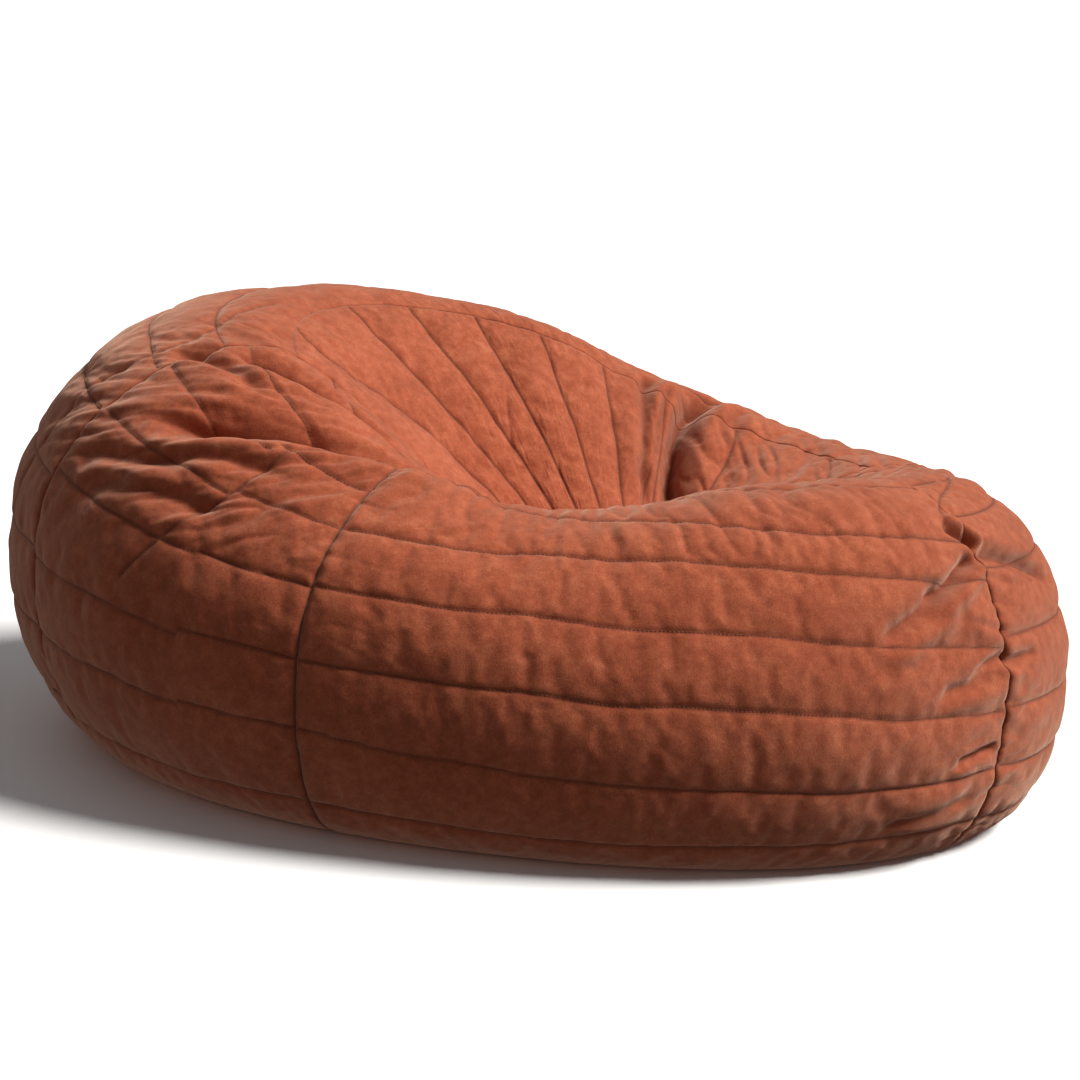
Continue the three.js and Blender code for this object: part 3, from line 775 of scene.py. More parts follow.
def velour():
    material, tree, shader = newMaterial("terracotta_velour")
    place = objectPlace(tree)
    k = velourLook
    clouds = noiseNode(tree, place, 62, 8, 0.74)
    fibres = noiseNode(tree, place, 480, 3, 0.7)
    patches = noiseNode(tree, place, 9, 4, 0.55)
    blend = weightedSum(tree, (clouds, 0.55), (fibres, 0.30), (patches, 0.20))
    colour = rampNode(tree, blend, ((0.40, k["deep"]), (0.53, k["mid"]), (0.68, k["light"])))
    # painted shade darkens the stitched grooves and fold valleys; raised cloth is lightened, partly worn
    # nap and partly painted highlight
    for attribute, share, tint in (("painted_groove_shade", 0.82, k["painted_groove_shade"]), ("worn_nap_and_highlight", 0.35, k["light"])):
        mask = tree.nodes.new("ShaderNodeAttribute")
        mask.attribute_name = attribute
        colour = mixColours(tree, mathNode(tree, "MULTIPLY", mask.outputs["Fac"], share), colour, tint)
    tree.links.new(colour, shader.inputs["Base Color"])
    shader.inputs["Roughness"].default_value = k["roughness"]
    shader.inputs["Sheen Weight"].default_value = k["sheen"]
    shader.inputs["Sheen Roughness"].default_value = k["sheenRoughness"]
    shader.inputs["Sheen Tint"].default_value = (*k["sheenTint"], 1)
    shader.inputs["Specular IOR Level"].default_value = k["specular"]
    broad = bumpNode(tree, clouds, 0.35, 0.0035)
    fine = bumpNode(tree, noiseNode(tree, place, 950, 2, 0.6), 0.55, 0.0011, broad)
    tree.links.new(fine, shader.inputs["Normal"])
    return material


def wovenCloth(name, dark, light, threads, roughness=0.85):
    # plain woven cloth: two crossed sets of threads over a mottled colour
    material, tree, shader = newMaterial(name)
    place = objectPlace(tree)
    split = tree.nodes.new("ShaderNodeSeparateXYZ")
    tree.links.new(place, split.inputs[0])
    rate = 2 * math.pi * threads
    height = None
    for first, second in (("X", "Z"), ("Y", "Z")):
        spin = mathNode(tree, "ADD", split.outputs[first], split.outputs[second])
        wave = mathNode(tree, "SINE", mathNode(tree, "MULTIPLY", spin, rate))
        height = wave if height is None else mathNode(tree, "MULTIPLY", height, wave)
    height = mathNode(tree, "MULTIPLY_ADD", height, 0.5)
    mottle = noiseNode(tree, place, 60, 4, 0.6)
    shade = mathNode(tree, "ADD", mathNode(tree, "MULTIPLY", height, 0.35), mottle)
    colour = rampNode(tree, shade, ((0.25, dark), (0.85, light)))
    tree.links.new(colour, shader.inputs["Base Color"])
    shader.inputs["Roughness"].default_value = roughness
    tree.links.new(bumpNode(tree, height, 0.4, 0.0004), shader.inputs["Normal"])
    return material


def zipMetalLook():
    material, tree, shader = newMaterial("worn_zip_metal")
    place = objectPlace(tree)
    rub = noiseNode(tree, place, 240, 5, 0.65)
    colour = rampNode(tree, rub, ((0.35, (0.16, 0.14, 0.12)), (0.7, (0.42, 0.38, 0.34))))
    tree.links.new(colour, shader.inputs["Base Color"])
    shader.inputs["Metallic"].default_value = 1.0
    rough = mathNode(tree, "ADD", mathNode(tree, "MULTIPLY", rub, 0.35), 0.2)
    tree.links.new(rough, shader.inputs["Roughness"])
    tree.links.new(bumpNode(tree, rub, 0.15, 0.0003), shader.inputs["Normal"])
    return material


def plainPolymer(name, dark, light, roughness):
    material, tree, shader = newMaterial(name)
    place = objectPlace(tree)
    grain = noiseNode(tree, place, 380, 4, 0.6)
    tree.links.new(rampNode(tree, grain, ((0.3, dark), (0.75, light))), shader.inputs["Base Color"])
    shader.inputs["Roughness"].default_value = roughness
    tree.links.new(bumpNode(tree, grain, 0.2, 0.0003), shader.inputs["Normal"])
    return material


def foamLook():
    # shredded foam: lumpy crumbs of a few shades
    material, tree, shader = newMaterial("shredded_foam")
    place = objectPlace(tree)
    crumbs = tree.nodes.new("ShaderNodeTexVoronoi")
    crumbs.inputs["Scale"].default_value = 95
    tree.links.new(place, crumbs.inputs["Vector"])
    pores = noiseNode(tree, place, 600, 3, 0.6)
    mix = weightedSum(tree, (crumbs.outputs["Distance"], 0.6), (pores, 0.4))
    colour = rampNode(tree, mix, ((0.15, (0.72, 0.66, 0.50)), (0.7, (0.90, 0.86, 0.74))))
    tree.links.new(colour, shader.inputs["Base Color"])
    shader.inputs["Roughness"].default_value = 0.95
    tree.links.new(bumpNode(tree, mix, 0.8, 0.006), shader.inputs["Normal"])
    return material


looks = {
    "cover_cloth": velour(),
    "base_cloth": wovenCloth("base_woven_cloth", (0.035, 0.014, 0.010), (0.10, 0.042, 0.028), 700),
    "zip_tape": wovenCloth("zip_tape_weave", (0.09, 0.030, 0.016), (0.19, 0.066, 0.036), 1100),
    "zip_coil": plainPolymer("zip_coil_nylon", (0.09, 0.030, 0.018), (0.16, 0.058, 0.034), 0.42),
    "zip_metal": zipMetalLook(),
    "liner_cloth": wovenCloth("liner_woven_cloth", (0.55, 0.53, 0.48), (0.78, 0.76, 0.70), 800),
    "foam": foamLook(),
    "thread": wovenCloth("sewing_thread", (0.10, 0.026, 0.013), (0.20, 0.054, 0.027), 1600),
}
print("materials made")


wallDepth = 0.0112       # thickness of the seat quilt


def floatAttribute(mesh, name, values):
    attribute = mesh.attributes.new(name, "FLOAT", "POINT")
    attribute.data.foreach_set("value", np.asarray(values, np.float32))


def makeObject(name, vertices, faces, material, smooth=True):
    mesh = bpy.data.meshes.new(name)
    mesh.from_pydata(vertices.tolist() if hasattr(vertices, "tolist") else vertices, [], faces)
    mesh.materials.append(material)
    mesh.validate()
    mesh.polygons.foreach_set("use_smooth", [smooth] * len(mesh.polygons))
    mesh.update()
    obj = bpy.data.objects.new(name, mesh)
    scene.collection.objects.link(obj)
    return obj


def declare(obj, nodes, body="bag"):
    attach(obj, body)
    if nodes:
        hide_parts(*nodes)
    return obj


def wallFaces(outerLoop, innerLoop, step):
    # joins a fine edge to a coarse one: both run the same way, with the panel on their left
    faces = []
    for k in range(len(innerLoop) - 1):
        start, end = innerLoop[k], innerLoop[k + 1]
        fine = outerLoop[k * step:(k + 1) * step + 1]
        half = step // 2
        for m in range(step):
            corner = start if m < half else end
            faces.append((fine[m + 1], fine[m], corner))
        faces.append((fine[half], start, end))
    return faces


def panelPatch(name, rows, columns, nodes, step=4):
    outer = points[np.ix_(rows, columns)]
    reach = relief[np.ix_(rows, columns)]
    skinNormal = normal[np.ix_(rows, columns)]
    flat = surface[np.ix_(rows, columns)]
    innerRows = slice(0, len(rows), step)
    innerColumns = slice(0, len(columns), step)
    lowest = reach[innerRows, innerColumns].copy()
    for di in range(-2, 3):
        for dj in range(-2, 3):
            shifted = np.roll(reach, (di, dj), (0, 1))[innerRows, innerColumns]
            lowest = np.minimum(lowest, shifted)
    depth = np.minimum(-0.004, lowest - 0.003)
    inner = flat[innerRows, innerColumns] + skinNormal[innerRows, innerColumns] * depth[..., None]
    inner[..., 2] = np.maximum(inner[..., 2], 0.003)
    if rows[-1] == lowRow:
        # the lower back panel stays clear of the zip's slot above it
        inner[..., 2] = np.minimum(inner[..., 2], outer[-1:, innerColumns, 2])
    r, c = outer.shape[:2]
    ri, ci = inner.shape[:2]
    outerIndex = np.arange(r * c).reshape(r, c)
    innerIndex = r * c + np.arange(ri * ci).reshape(ri, ci)
    faces = quadGrid(outerIndex).tolist() + quadGrid(innerIndex)[:, ::-1].tolist()
    faces += wallFaces(outerIndex[0], innerIndex[0], step)
    faces += wallFaces(outerIndex[:, -1], innerIndex[:, -1], step)
    faces += wallFaces(outerIndex[-1][::-1], innerIndex[-1][::-1], step)
    faces += wallFaces(outerIndex[::-1, 0], innerIndex[::-1, 0], step)
    vertices = np.concatenate([outer.reshape(-1, 3), inner.reshape(-1, 3)])
    obj = makeObject(name, vertices, faces, looks["cover_cloth"])
    blank = np.zeros(ri * ci)
    floatAttribute(obj.data, "painted_groove_shade", np.concatenate([grooveShade[np.ix_(rows, columns)].ravel(), blank]))
    floatAttribute(obj.data, "worn_nap_and_highlight", np.concatenate([wornNapAndHighlight[np.ix_(rows, columns)].ravel(), blank]))
    return declare(obj, nodes)


# painted shade: the colour darkens along the stitched channels, the seams and the fold valleys
grooveShade = np.maximum(0.9 * np.exp(-(channelNear / 0.0026) ** 1.5) * ease((sGrid - 1.3) / 0.2),
                         0.9 * np.exp(-(seamNear / 0.0028) ** 1.5))
grooveShade = np.maximum(grooveShade, 0.8 * foldShade)
# lighter colour on raised cloth: partly worn nap, partly painted highlight
wornNapAndHighlight = np.clip(relief - 0.002, 0, 0.012) / 0.012 * (0.5 + 0.5 * valueNoise(surface, 0.05, 47))
wornNapAndHighlight = np.clip(wornNapAndHighlight, 0, 1)

rowCount = rowLines.shape[0]
lowRow, highRow = rowMarks[1], rowMarks[2]
crestRow = rowMarks[4]
wholeSide = list(range(0, lowRow + 1)) + list(range(highRow + 1, rowCount))
panelTable = {
    "cover_left_arm_quilt": (wholeSide, panelColumns[0], "cover_left_arm_panel"),
    "cover_front_quilt": (wholeSide, panelColumns[1], "cover_front_panel"),
    "cover_right_arm_quilt": (wholeSide, panelColumns[2], "cover_right_arm_panel"),
    "cover_lower_back_cloth": (list(range(0, lowRow + 1)), panelColumns[3],
                               "cover_lower_back_panel"),
    "cover_outer_back_quilt": (list(range(highRow, crestRow + 1)), panelColumns[3],
                               "cover_outer_back_panel"),
    "cover_backrest_quilt": (list(range(crestRow, rowCount)), panelColumns[3],
                             "cover_backrest_panel"),
}
for name, (rows, (start, end), node) in panelTable.items():
    panelPatch(name, rows, list(range(start, end + 1)), [node])
print("side panels made")


def discPatch(name, rings, centre, innerDrop, material, upward):
    # rings: (count, columns, 3) from the rim towards the middle, closed round; returns the mesh data
    count, columns = rings.shape[:2]
    inner = rings + innerDrop
    innerCentre = centre + innerDrop
    total = count * columns
    vertices = np.concatenate([rings.reshape(-1, 3), centre[None], inner.reshape(-1, 3), innerCentre[None]])
    faces = []
    for layer, turned in ((0, not upward), (total + 1, upward)):
        index = layer + np.arange(total).reshape(count, columns)
        looped = closedRound(index)
        quads = quadGrid(looped)
        fan = np.stack([looped[-1, :-1], looped[-1, 1:], np.full(columns, layer + total)], -1)
        if turned:
            quads, fan = quads[:, ::-1], fan[:, ::-1]
        faces += quads.tolist() + fan.tolist()
    top = np.append(np.arange(columns), 0)
    low = top + total + 1
    for k in range(columns):
        wall = (top[k + 1], top[k], low[k], low[k + 1])
        faces.append(wall if upward else wall[::-1])
    return makeObject(name, vertices, faces, material), total


def seatQuilt():
    columns = columnAngles[:-1:4]
    edge = points[-1, :-1:4]
    count = 34
    rows = np.linspace(seams["seat"], 3.985, count)
    a, s = np.meshgrid(columns, rows)
    base = bagSurface(a, s)
    out = surfaceFrame(a, s)[0]
    middle = bagSurface(np.array([0.0]), np.array([4.0]))[0]
    radius = np.linalg.norm((base - middle)[..., :2], axis=-1)
    angle = np.arctan2(base[..., 1] - middle[1], base[..., 0] - middle[0])
    wave = 0.005 * streaks(angle * 0.08, radius, 0.035, 0.09, 51)
    wave += 0.004 * valueNoise(base, 0.06, 53) + 0.002 * valueNoise(base, 0.02, 55)
    edgeRelief = relief[-1, :-1:4]
    toEdge = np.clip((s - seams["seat"]) / 0.30, 0, 1)
    height = 0.004 + wave * ease(radius / 0.04) - 0.0135 * np.exp(-toEdge * 0.135 / 0.016)
    fade = ease(toEdge / 0.12)
    height = height * fade + edgeRelief[None, :] * (1 - fade)
    rings = base + out * height[..., None]
    rings[0] = edge
    middle = middle + np.array([0, 0, 0.004])
    obj, total = discPatch("cover_seat_quilt", rings, middle, np.array([0, 0, -wallDepth]),
                           looks["cover_cloth"], True)
    # painted shade along the seam where the seat meets the rim
    shade = np.exp(-toEdge * 0.135 / 0.0045).ravel()
    rest = np.zeros(total + 2)
    floatAttribute(obj.data, "painted_groove_shade", np.concatenate([shade, rest]))
    floatAttribute(obj.data, "worn_nap_and_highlight", np.zeros(2 * total + 2))
    return declare(obj, ["cover_seat_panel"])


def baseCloth():
    edge = points[0, :-1:4]
    count = 20
    share = np.linspace(0, 0.95, count)[:, None, None]
    middle = np.array([0.0, 0.0, 0.0])
    middle[:2] = -planCentre[:2]
    rings = edge[None] * (1 - share) + middle * share
    inside = ease(share / 0.06)
    ripple = 0.0014 * (valueNoise(rings, 0.12, 61) + 1) / 2
    rings[..., 2] = rings[..., 2] * (1 - inside[..., 0]) + ripple * inside[..., 0] * 0.6
    obj, _ = discPatch("cover_base_cloth", rings, middle, np.array([0, 0, 0.006]),
                       looks["base_cloth"], False)
    return declare(obj, ["cover_base_panel"])


seatQuilt()
baseCloth()
print("seat and base made")


def innerSkin(depth, step=4):
    # the cover's own shape, sunk by a depth and cleared of every crease
    cols = list(range(0, aGrid.shape[1] - 1, step))
    rows = sorted(set(range(0, rowCount, step)) | {rowCount - 1})
    lowest = relief.copy()
    for dj in range(-4, 5):
        lowest = np.minimum(lowest, closedRound(np.roll(relief[:, :-1], dj, 1)))
    reach = np.minimum(lowest[np.ix_(rows, cols)], 0) - 0.006 - depth
    return surface[np.ix_(rows, cols)] + normal[np.ix_(rows, cols)] * reach[..., None]


def sunkBody(name, depth, floor, thickness, material):
    def layer(extra):
        skin = innerSkin(depth + extra)
        skin[..., 2] = np.maximum(skin[..., 2], floor + extra)
        seatLow = bagSurface(np.array([0.0]), np.array([4.0]))[0]
        centreTop = seatLow - np.array([0, 0, depth + extra + 0.012])
        centreLow = np.array([-planCentre[0], -planCentre[1], floor + extra])
        columns = skin.shape[1]
        low = [skin[0] * (1 - t) + centreLow * t for t in (0.25, 0.5, 0.75)]
        for ringPoints in low:
            ringPoints[:, 2] = floor + extra
        ringsAll = np.concatenate([np.array(low[::-1]), skin])
        top = np.concatenate([ringsAll.reshape(-1, 3), centreLow[None], centreTop[None]])
        rows = len(ringsAll)
        index = np.arange(rows * columns).reshape(rows, columns)
        looped = closedRound(index)
        faces = quadGrid(looped).tolist()
        for k in range(columns):
            faces.append((looped[0, k + 1], looped[0, k], rows * columns))
            faces.append((looped[-1, k], looped[-1, k + 1], rows * columns + 1))
        return top, faces
    vertices, faces = layer(0)
    if thickness:
        more, back = layer(thickness)
        offset = len(vertices)
        faces += [tuple(v + offset for v in reversed(face)) for face in back]
        vertices = np.concatenate([vertices, more])
    return makeObject(name, vertices, faces, material)


innerBodies = {"fill": {"depth": 0.0105, "floor": 0.020, "wall": 0},
               "liner": {"depth": 0.0070, "floor": 0.014, "wall": 0.0015}}
fill = sunkBody("foam_fill_shredded", *innerBodies["fill"].values(), looks["foam"])
declare(fill, ["foam_fill"])
liner = sunkBody("liner_bag_cloth", *innerBodies["liner"].values(), looks["liner_cloth"])


def opsCube(name, low, high):
    bpy.ops.object.select_all(action="DESELECT")
    bpy.ops.mesh.primitive_cube_add(size=1, location=[(a + b) / 2 for a, b in zip(low, high)])
    obj = bpy.context.object
    obj.name = name
    obj.dimensions = [b - a for a, b in zip(low, high)]
    bpy.ops.object.transform_apply(location=True, rotation=True, scale=True)
    return obj


def applyModifier(obj, modifier):
    bpy.ops.object.select_all(action="DESELECT")
    obj.select_set(True)
    bpy.context.view_layer.objects.active = obj
    bpy.ops.object.modifier_apply(modifier=modifier.name)


def combined(obj, other, operation):
    modifier = obj.modifiers.new("join", "BOOLEAN")
    modifier.operation = operation
    modifier.object = other
    modifier.solver = "EXACT"
    applyModifier(obj, modifier)
    bpy.data.objects.remove(other)
    return obj


linerSlot = {"half": 0.262, "y": 0.130, "reach": 0.0158, "low": 0.0117, "high": 0.0178}
slotCutter = opsCube("slot_cutter",
                     (-linerSlot["half"], linerSlot["y"] - linerSlot["reach"], linerSlot["low"]),
                     (linerSlot["half"], linerSlot["y"] + linerSlot["reach"], linerSlot["high"]))
combined(liner, slotCutter, "DIFFERENCE")
declare(liner, ["liner_bag"])
print("liner and fill made")


stitch = {"pitch": 0.0052, "length": 0.0040, "half": 0.00055, "lift": 0.0004, "sunk": 0.0007}


def onGrid(rowIndex, columnIndex):
    # the cover's points and normals at fractional places in its grid
    i = np.clip(np.floor(rowIndex).astype(int), 0, aGrid.shape[0] - 2)
    j = np.clip(np.floor(columnIndex).astype(int), 0, aGrid.shape[1] - 2)
    u, v = (rowIndex - i)[:, None], (columnIndex - j)[:, None]
    out = []
    for field in (points, normal):
        low = field[i, j] * (1 - v) + field[i, j + 1] * v
        high = field[i + 1, j] * (1 - v) + field[i + 1, j + 1] * v
        out.append(low * (1 - u) + high * u)
    return out


def threadAlong(path, out, vertices, faces):
    # small arched stitches, each three five-sided rings, laid one after another down a path
    steps = np.linalg.norm(np.diff(path, axis=0), axis=1)
    place = np.concatenate([[0], np.cumsum(steps)])
    starts = np.arange(0.003, place[-1] - stitch["pitch"], stitch["pitch"])
    if len(starts) < 2:
        return
    corners = np.arange(5) * 2 * math.pi / 5
    for start in starts:
        at = start + stitch["length"] * np.array([0, 0.5, 1])
        p = np.stack([np.interp(at, place, path[:, k]) for k in range(3)], -1)
        n = np.stack([np.interp(at, place, out[:, k]) for k in range(3)], -1)
        p = p + n * (stitch["lift"] - stitch["sunk"] * np.array([1, 0, 1]))[:, None]
        forward = p[2] - p[0]
        side = np.cross(forward, n[1])
        side = side / max(np.linalg.norm(side), 1e-9)
        first = len(vertices)
        for k, ringWide in enumerate((0.55, 1.0, 0.55)):
            for corner in corners:
                r = stitch["half"] * ringWide
                vertices.append(p[k] + side * r * math.cos(corner) + n[k] * r * math.sin(corner))
        for k in (0, 5):
            for m in range(5):
                q = (m + 1) % 5
                faces.append((first + k + m, first + k + q, first + k + 5 + q, first + k + 5 + m))
        faces.append(tuple(first + m for m in range(4, -1, -1)))
        faces.append(tuple(first + 10 + m for m in range(5)))


def levelPath(angles, rows, start, end):
    columns = np.nonzero((columnAngles >= start) & (columnAngles <= end))[0]
    found = []
    for column in columns:
        level = np.interp(columnAngles[column], angles, rows)
        place = np.interp(level, rowLines[:, column], np.arange(rowCount))
        near = int(round(place))
        level -= wobble[near, column] / perRow[near, column]
        found.append(np.interp(level, rowLines[:, column], np.arange(rowCount)))
    return onGrid(np.array(found), columns.astype(float))


def backrestPath(wanted):
    first, last = panelColumns[3]
    columns = np.arange(first, last + 1)
    rows = []
    found = []
    for row in range(crestRow, rowCount):
        line = backrestPlace[row, first:last + 1] + 0.8 * wobble[row, first:last + 1]
        inside = np.nonzero((line[:-1] - wanted) * (line[1:] - wanted) <= 0)[0]
        if len(inside) == 0:
            continue
        k = inside[0] if not found else inside[np.argmin(np.abs(columns[inside] - found[-1]))]
        share = (line[k] - wanted) / (line[k] - line[k + 1] + 1e-12)
        rows.append(float(row))
        found.append(columns[k] + min(max(share, 0), 1))
    if len(rows) < 4:
        return None
    return onGrid(np.array(rows), np.array(found))


def sewChannels():
    spans = {
        "front": ("cover_front_stitching", seams["leftFront"], seams["rightFront"]),
        "leftFore": ("cover_left_arm_stitching", seams["leftDart"], seams["leftFront"]),
        "leftAft": ("cover_left_arm_stitching", seams["leftBack"], seams["leftDart"]),
        "right": ("cover_right_arm_stitching", seams["rightFront"], seams["rightBack"]),
        "back": ("cover_outer_back_stitching", seams["rightBack"], seams["leftBack"] + 2 * math.pi),
    }
    sewn = {}
    for name, (piece, start, end) in spans.items():
        vertices, faces = sewn.setdefault(piece, ([], []))
        for rows in channelRows[name]["rows"]:
            path, out = levelPath(channelRows[name]["angles"], rows, start + 0.008, end - 0.008)
            threadAlong(path, out, vertices, faces)
    vertices, faces = sewn.setdefault("cover_backrest_stitching", ([], []))
    for k in range(backrestPitch["count"]):
        found = backrestPath(backrestPitch["first"] + k * backrestPitch["step"])
        if found is not None:
            threadAlong(*found, vertices, faces)
    for piece, (vertices, faces) in sewn.items():
        obj = makeObject(piece, np.array(vertices), faces, looks["thread"])
        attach(obj, "bag")


sewChannels()
print("stitches made")


# the chain stops short of its slot, and the closed slider stands at its start; angles on the arc
chain = {"inset": 0.010, "endPlay": 0.001, "pitch": 0.0022, "tooth": 0.0014, "inner": 0.0009,
         "outer": 0.0044, "thick": 0.0024}
chain["start"] = round(arcEnds[0] + chain["inset"] / arcRadius, 5)
chain["end"] = round(arcEnds[1] - chain["inset"] / arcRadius, 5)
linerChain = {"half": 0.250, "y": 0.130, "z": 0.01475, "rest": -0.239}


def bevelled(obj, width, segments, angle=30):
    modifier = obj.modifiers.new("bevel", "BEVEL")
    modifier.width = width
    modifier.segments = segments
    modifier.limit_method = "ANGLE"
    modifier.angle_limit = math.radians(angle)
    applyModifier(obj, modifier)
    return obj


def meshPoints(obj):
    flat = np.empty(len(obj.data.vertices) * 3)
    obj.data.vertices.foreach_get("co", flat)
    return flat.reshape(-1, 3)


def setPoints(obj, places):
    obj.data.vertices.foreach_set("co", np.ascontiguousarray(places, np.float32).ravel())
    obj.data.update()


def finishPiece(obj, look, node, body="bag"):
    obj.data.materials.clear()
    obj.data.materials.append(looks[look])
    bpy.ops.object.select_all(action="DESELECT")
    obj.select_set(True)
    bpy.context.view_layer.objects.active = obj
    bpy.ops.object.shade_smooth_by_angle(angle=math.radians(40))
    return declare(obj, [node], body=body)


def teethRow(name, count, side):
    # local x along the zip, y outwards, z across it
    k = chain
    low, high = sorted((side * k["inner"], side * k["outer"]))
    tooth = opsCube(name, (0, -k["thick"] / 2, low), (k["tooth"], k["thick"] / 2, high))
    bevelled(tooth, smallEdge, 1)
    array = tooth.modifiers.new("row", "ARRAY")
    array.use_relative_offset = False
    array.use_constant_offset = True
    array.constant_offset_displace = (k["pitch"], 0, 0)
    array.count = count
    applyModifier(tooth, array)
    return tooth


def bendToArc(obj, angle):
    p = meshPoints(obj)
    turn = angle + p[:, 0] / arcRadius
    r = arcRadius + p[:, 1]
    setPoints(obj, np.stack([arcCentre[0] + r * np.cos(turn), arcCentre[1] + r * np.sin(turn),
                             zipSlot["height"] + p[:, 2]], -1))


def coverCoils():
    length = (chain["end"] - chain["start"]) * arcRadius
    count = int(length / chain["pitch"])
    for side, name in ((1, "upper"), (-1, "lower")):
        shift = 0.0 if side > 0 else chain["pitch"] / 2
        teeth = teethRow(f"cover_zip_teeth_{name}", count - 1, side)
        setPoints(teeth, meshPoints(teeth) + np.array([shift, 0, 0]))
        bendToArc(teeth, chain["start"])
        finishPiece(teeth, "zip_coil", f"cover_zip_coil_{name}")


def linerCoils():
    count = int(2 * linerChain["half"] / chain["pitch"]) - 1
    for side, name in ((-1, "front"), (1, "rear")):
        teeth = teethRow(f"liner_zip_teeth_{name}", count, side)
        p = meshPoints(teeth)
        shift = -linerChain["half"] + (0 if side > 0 else chain["pitch"] / 2)
        setPoints(teeth, np.stack([p[:, 0] + shift, linerChain["y"] + p[:, 2],
                                   linerChain["z"] + p[:, 1]], -1))
        finishPiece(teeth, "zip_coil", f"liner_zip_coil_{name}")


sliderSize = {"half": 0.010, "wide": 0.0065, "face": 0.0018, "front": 0.0016, "rear": 0.0014,
              "web": 0.0007, "sunk": 0.0007, "edge": 0.0005}
bailSize = {"half": 0.0035, "leg": 0.0016, "inside": 0.004, "top": 0.0016, "wide": 0.0008}
pullSize = {"bar": 0.001, "long": 0.028, "wide": 0.0045, "thick": 0.0009, "holeEnd": 0.0056,
            "holeWide": 0.0017, "pivot": 0.0057, "windowStart": 0.0205, "windowEnd": 0.0245,
            "windowWide": 0.0022}
smallEdge = 0.0004      # rounding of teeth, bail and pull


def sliderPiece(name, withBail):
    # two plates with rounded ends, narrower at the tail, joined by a web between the coils
    k = sliderSize
    front = opsCube(name, (-k["half"], k["face"], -k["wide"]),
                    (k["half"], k["face"] + k["front"], k["wide"]))
    rear = opsCube("rear", (-k["half"], -k["face"] - k["rear"], -k["wide"]),
                   (k["half"], -k["face"], k["wide"]))
    for plate in (front, rear):
        p = meshPoints(plate)
        taper = 1 - 0.20 * np.clip(-p[:, 0] / k["half"], 0, 1)
        setPoints(plate, p * np.stack([np.ones(len(p)), np.ones(len(p)), taper], -1))
        bevelled(plate, k["edge"], 2)
    web = opsCube("web", (-k["half"] * 0.8, -k["face"] - k["sunk"], -k["web"]),
                  (k["half"] * 0.8, k["face"] + k["sunk"], k["web"]))
    body = combined(combined(front, rear, "UNION"), web, "UNION")
    if withBail:
        b = bailSize
        base = k["face"] + k["front"]
        arch = opsCube("arch", (-b["half"], base - 0.0006, -b["wide"]),
                       (b["half"], base + b["inside"] + b["top"], b["wide"]))
        opening = opsCube("opening", (-b["half"] + b["leg"], base - 0.001, -0.01),
                          (b["half"] - b["leg"], base + b["inside"], 0.01))
        arch = combined(arch, opening, "DIFFERENCE")
        bevelled(arch, smallEdge, 2)
        body = combined(body, arch, "UNION")
    return body


def pullPiece():
    k = pullSize
    tab = opsCube("cover_zip_pull_tab", (-k["bar"], -k["thick"], -k["wide"]),
                  (k["long"], k["thick"], k["wide"]))
    p = meshPoints(tab)
    narrow = np.where(p[:, 0] < 0, 0.80, 1.0)
    setPoints(tab, p * np.stack([np.ones(len(p)), np.ones(len(p)), narrow], -1))
    hole = opsCube("hole", (k["bar"], -0.01, -k["holeWide"]), (k["holeEnd"], 0.01, k["holeWide"]))
    tab = combined(tab, hole, "DIFFERENCE")
    window = opsCube("window", (k["windowStart"], -0.01, -k["windowWide"]),
                     (k["windowEnd"], 0.01, k["windowWide"]))
    tab = combined(tab, window, "DIFFERENCE")
    return bevelled(tab, smallEdge, 2)


def toSliderPlace(obj, x, angle, outward):
    # local x runs along the chain towards its far end when x is 1, y points out of the bag
    p = meshPoints(obj)
    out = np.array([math.cos(angle), math.sin(angle), 0])
    ahead = np.array([-math.sin(angle), math.cos(angle), 0]) * x
    origin = np.array([arcCentre[0], arcCentre[1], zipSlot["height"]]) + out * (arcRadius + outward)
    up = np.array([0, 0, 1.0]) * (1 if x < 0 else -1)
    setPoints(obj, origin + p[:, :1] * ahead + p[:, 1:2] * out + p[:, 2:] * up)


coverCoils()
linerCoils()
restAngle = round(arcEnds[0] + (chain["inset"] + sliderSize["half"] + chain["endPlay"]) / arcRadius, 5)
castSlider = sliderPiece("cover_zip_slider_cast", True)
toSliderPlace(castSlider, -1, restAngle, 0)
finishPiece(castSlider, "zip_metal", "cover_zip_slider", "cover_slider")
pullTab = pullPiece()
toSliderPlace(pullTab, 1, restAngle, pullSize["pivot"])
finishPiece(pullTab, "zip_metal", "cover_zip_pull", "cover_pull")
linerSlider = sliderPiece("liner_zip_slider_cast", False)
place = meshPoints(linerSlider)
setPoints(linerSlider, np.stack([linerChain["rest"] - place[:, 0], linerChain["y"] + place[:, 2],
                                 linerChain["z"] - place[:, 1]], -1))
finishPiece(linerSlider, "zip_metal", "liner_zip_slider", "liner_slider")
print("zips made")


nodeSlots = {
    "cover_zip_guard": "cover_cloth",
    "cover_zip_tape_upper": "zip_tape",
    "cover_zip_tape_lower": "zip_tape",
    "cover_zip_stop_left": "zip_metal",
    "cover_zip_stop_right": "zip_metal",
    "liner_zip_tape_front": "zip_tape",
    "liner_zip_tape_rear": "zip_tape",
    "liner_zip_stop_left": "zip_metal",
    "liner_zip_stop_right": "zip_metal",
}
for name, slotName in nodeSlots.items():
    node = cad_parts.get(name)
    if node is None:
        continue
    mesh = node.data
    mesh.materials.clear()
    mesh.materials.append(looks[slotName])


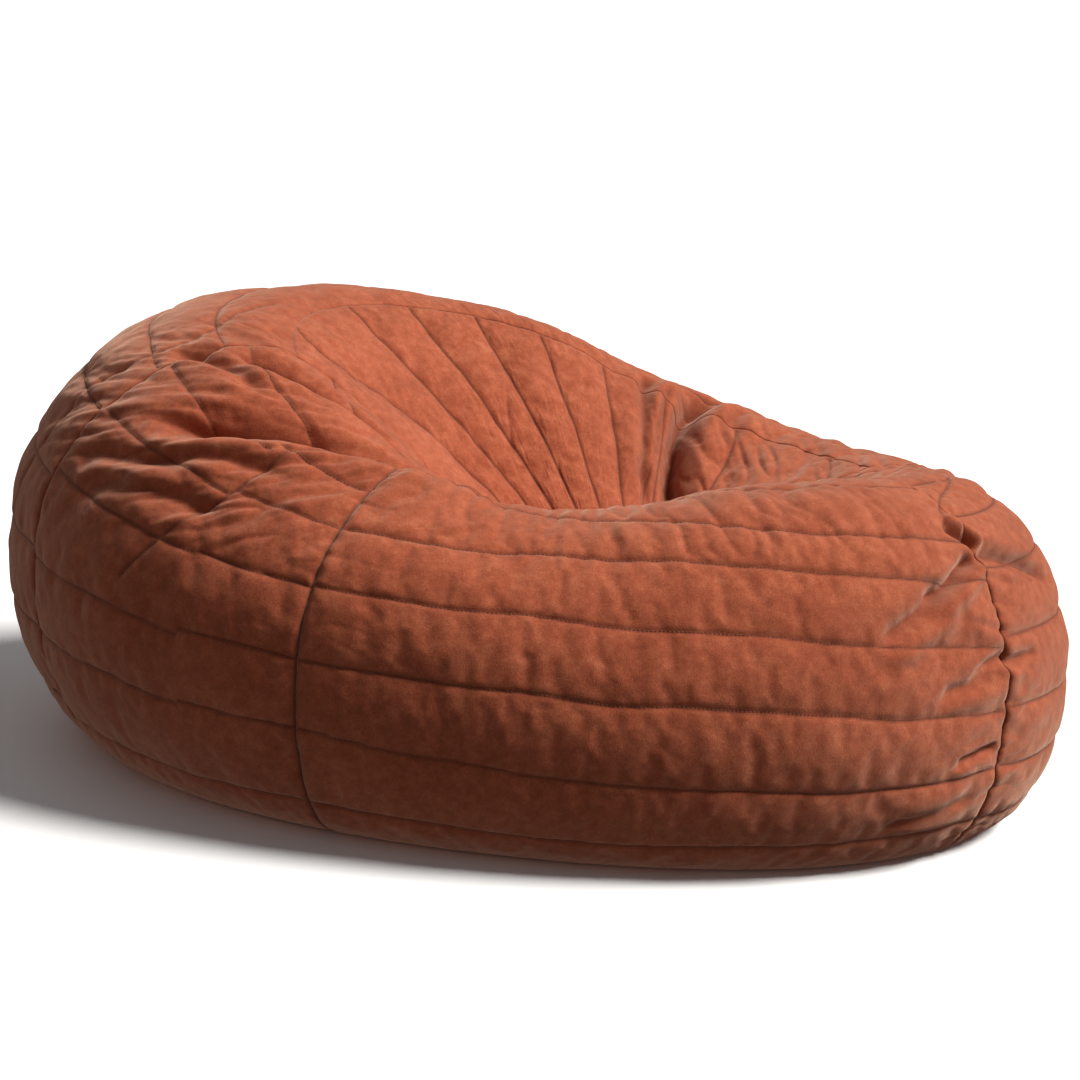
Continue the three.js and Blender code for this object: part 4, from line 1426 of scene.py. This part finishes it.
def studioSweep():
    # a floor that curves up into a plain backdrop behind the object
    turn = [(-30.0, 0.0), (5.0, 0.0)]
    turn += [(5 + 4 * math.sin(v), 4 - 4 * math.cos(v)) for v in np.linspace(0.05, math.pi / 2, 20)]
    turn += [(9.0, 24.0)]
    vertices = [(x, y, z) for y, z in turn for x in (-30.0, 30.0)]
    faces = [(2 * k, 2 * k + 1, 2 * k + 3, 2 * k + 2) for k in range(len(turn) - 1)]
    look, _, shader = newMaterial("pale_floor")
    shader.inputs["Base Color"].default_value = (0.94, 0.94, 0.94, 1)
    shader.inputs["Roughness"].default_value = 0.9
    shader.inputs["Specular IOR Level"].default_value = 0.1
    return makeObject("studio_floor", np.array(vertices), faces, look)


floor = studioSweep()
floor.visible_diffuse = False       # a white floor this near would light the front from below

world = bpy.data.worlds.new("studio")
scene.world = world
world.use_nodes = True
background = world.node_tree.nodes["Background"]
background.inputs["Color"].default_value = (1, 1, 1, 1)
background.inputs["Strength"].default_value = 0.17

# a broad soft key from the upper right front, and weak lamps that keep the far sides readable
sunData = bpy.data.lights.new("key", "SUN")
sunData.energy = 5.3
sunData.angle = math.radians(22)
sunData.color = (1.0, 0.98, 0.95)
sun = bpy.data.objects.new("key", sunData)
sun.rotation_euler = Vector((-0.60, 0.24, -0.76)).to_track_quat("-Z", "Y").to_euler()
scene.collection.objects.link(sun)
lamps = {
    "fill": {"place": (-2.2, -2.4, 1.4), "size": 2.4, "power": 1.5, "colour": (1.0, 0.95, 0.92)},
    "back": {"place": (-1.2, 2.8, 1.8), "size": 2.4, "power": 8, "colour": (1.0, 1.0, 1.0)},
}
for name, k in lamps.items():
    light = bpy.data.lights.new(name, "AREA")
    light.energy = k["power"]
    light.size = k["size"]
    light.color = k["colour"]
    lamp = bpy.data.objects.new(name, light)
    lamp.location = k["place"]
    aim = Vector((0, 0, 0.3)) - Vector(k["place"])
    lamp.rotation_euler = aim.to_track_quat("-Z", "Y").to_euler()
    scene.collection.objects.link(lamp)

frontView = {"azimuth": -20.27, "elevation": 12.22, "roll": 5.55, "distance": 3.2, "lens": 75.06,
             "target": (-0.0031, 0.0169, 0.3076)}
azimuth, elevation = (math.radians(frontView[k]) for k in ("azimuth", "elevation"))
toward = Vector((math.sin(azimuth) * math.cos(elevation), -math.cos(azimuth) * math.cos(elevation),
                 math.sin(elevation)))
cameraData = bpy.data.cameras.new("front_camera")
cameraData.lens = frontView["lens"]
cameraData.sensor_width = 36
camera = bpy.data.objects.new("front_camera", cameraData)
camera.location = Vector(frontView["target"]) + toward * frontView["distance"]
turn = (-toward).to_track_quat("-Z", "Y")
camera.rotation_mode = "QUATERNION"
camera.rotation_quaternion = turn @ Quaternion((0, 0, 1), math.radians(frontView["roll"]))
scene.collection.objects.link(camera)
scene.camera = camera
scene.view_settings.view_transform = "Standard"
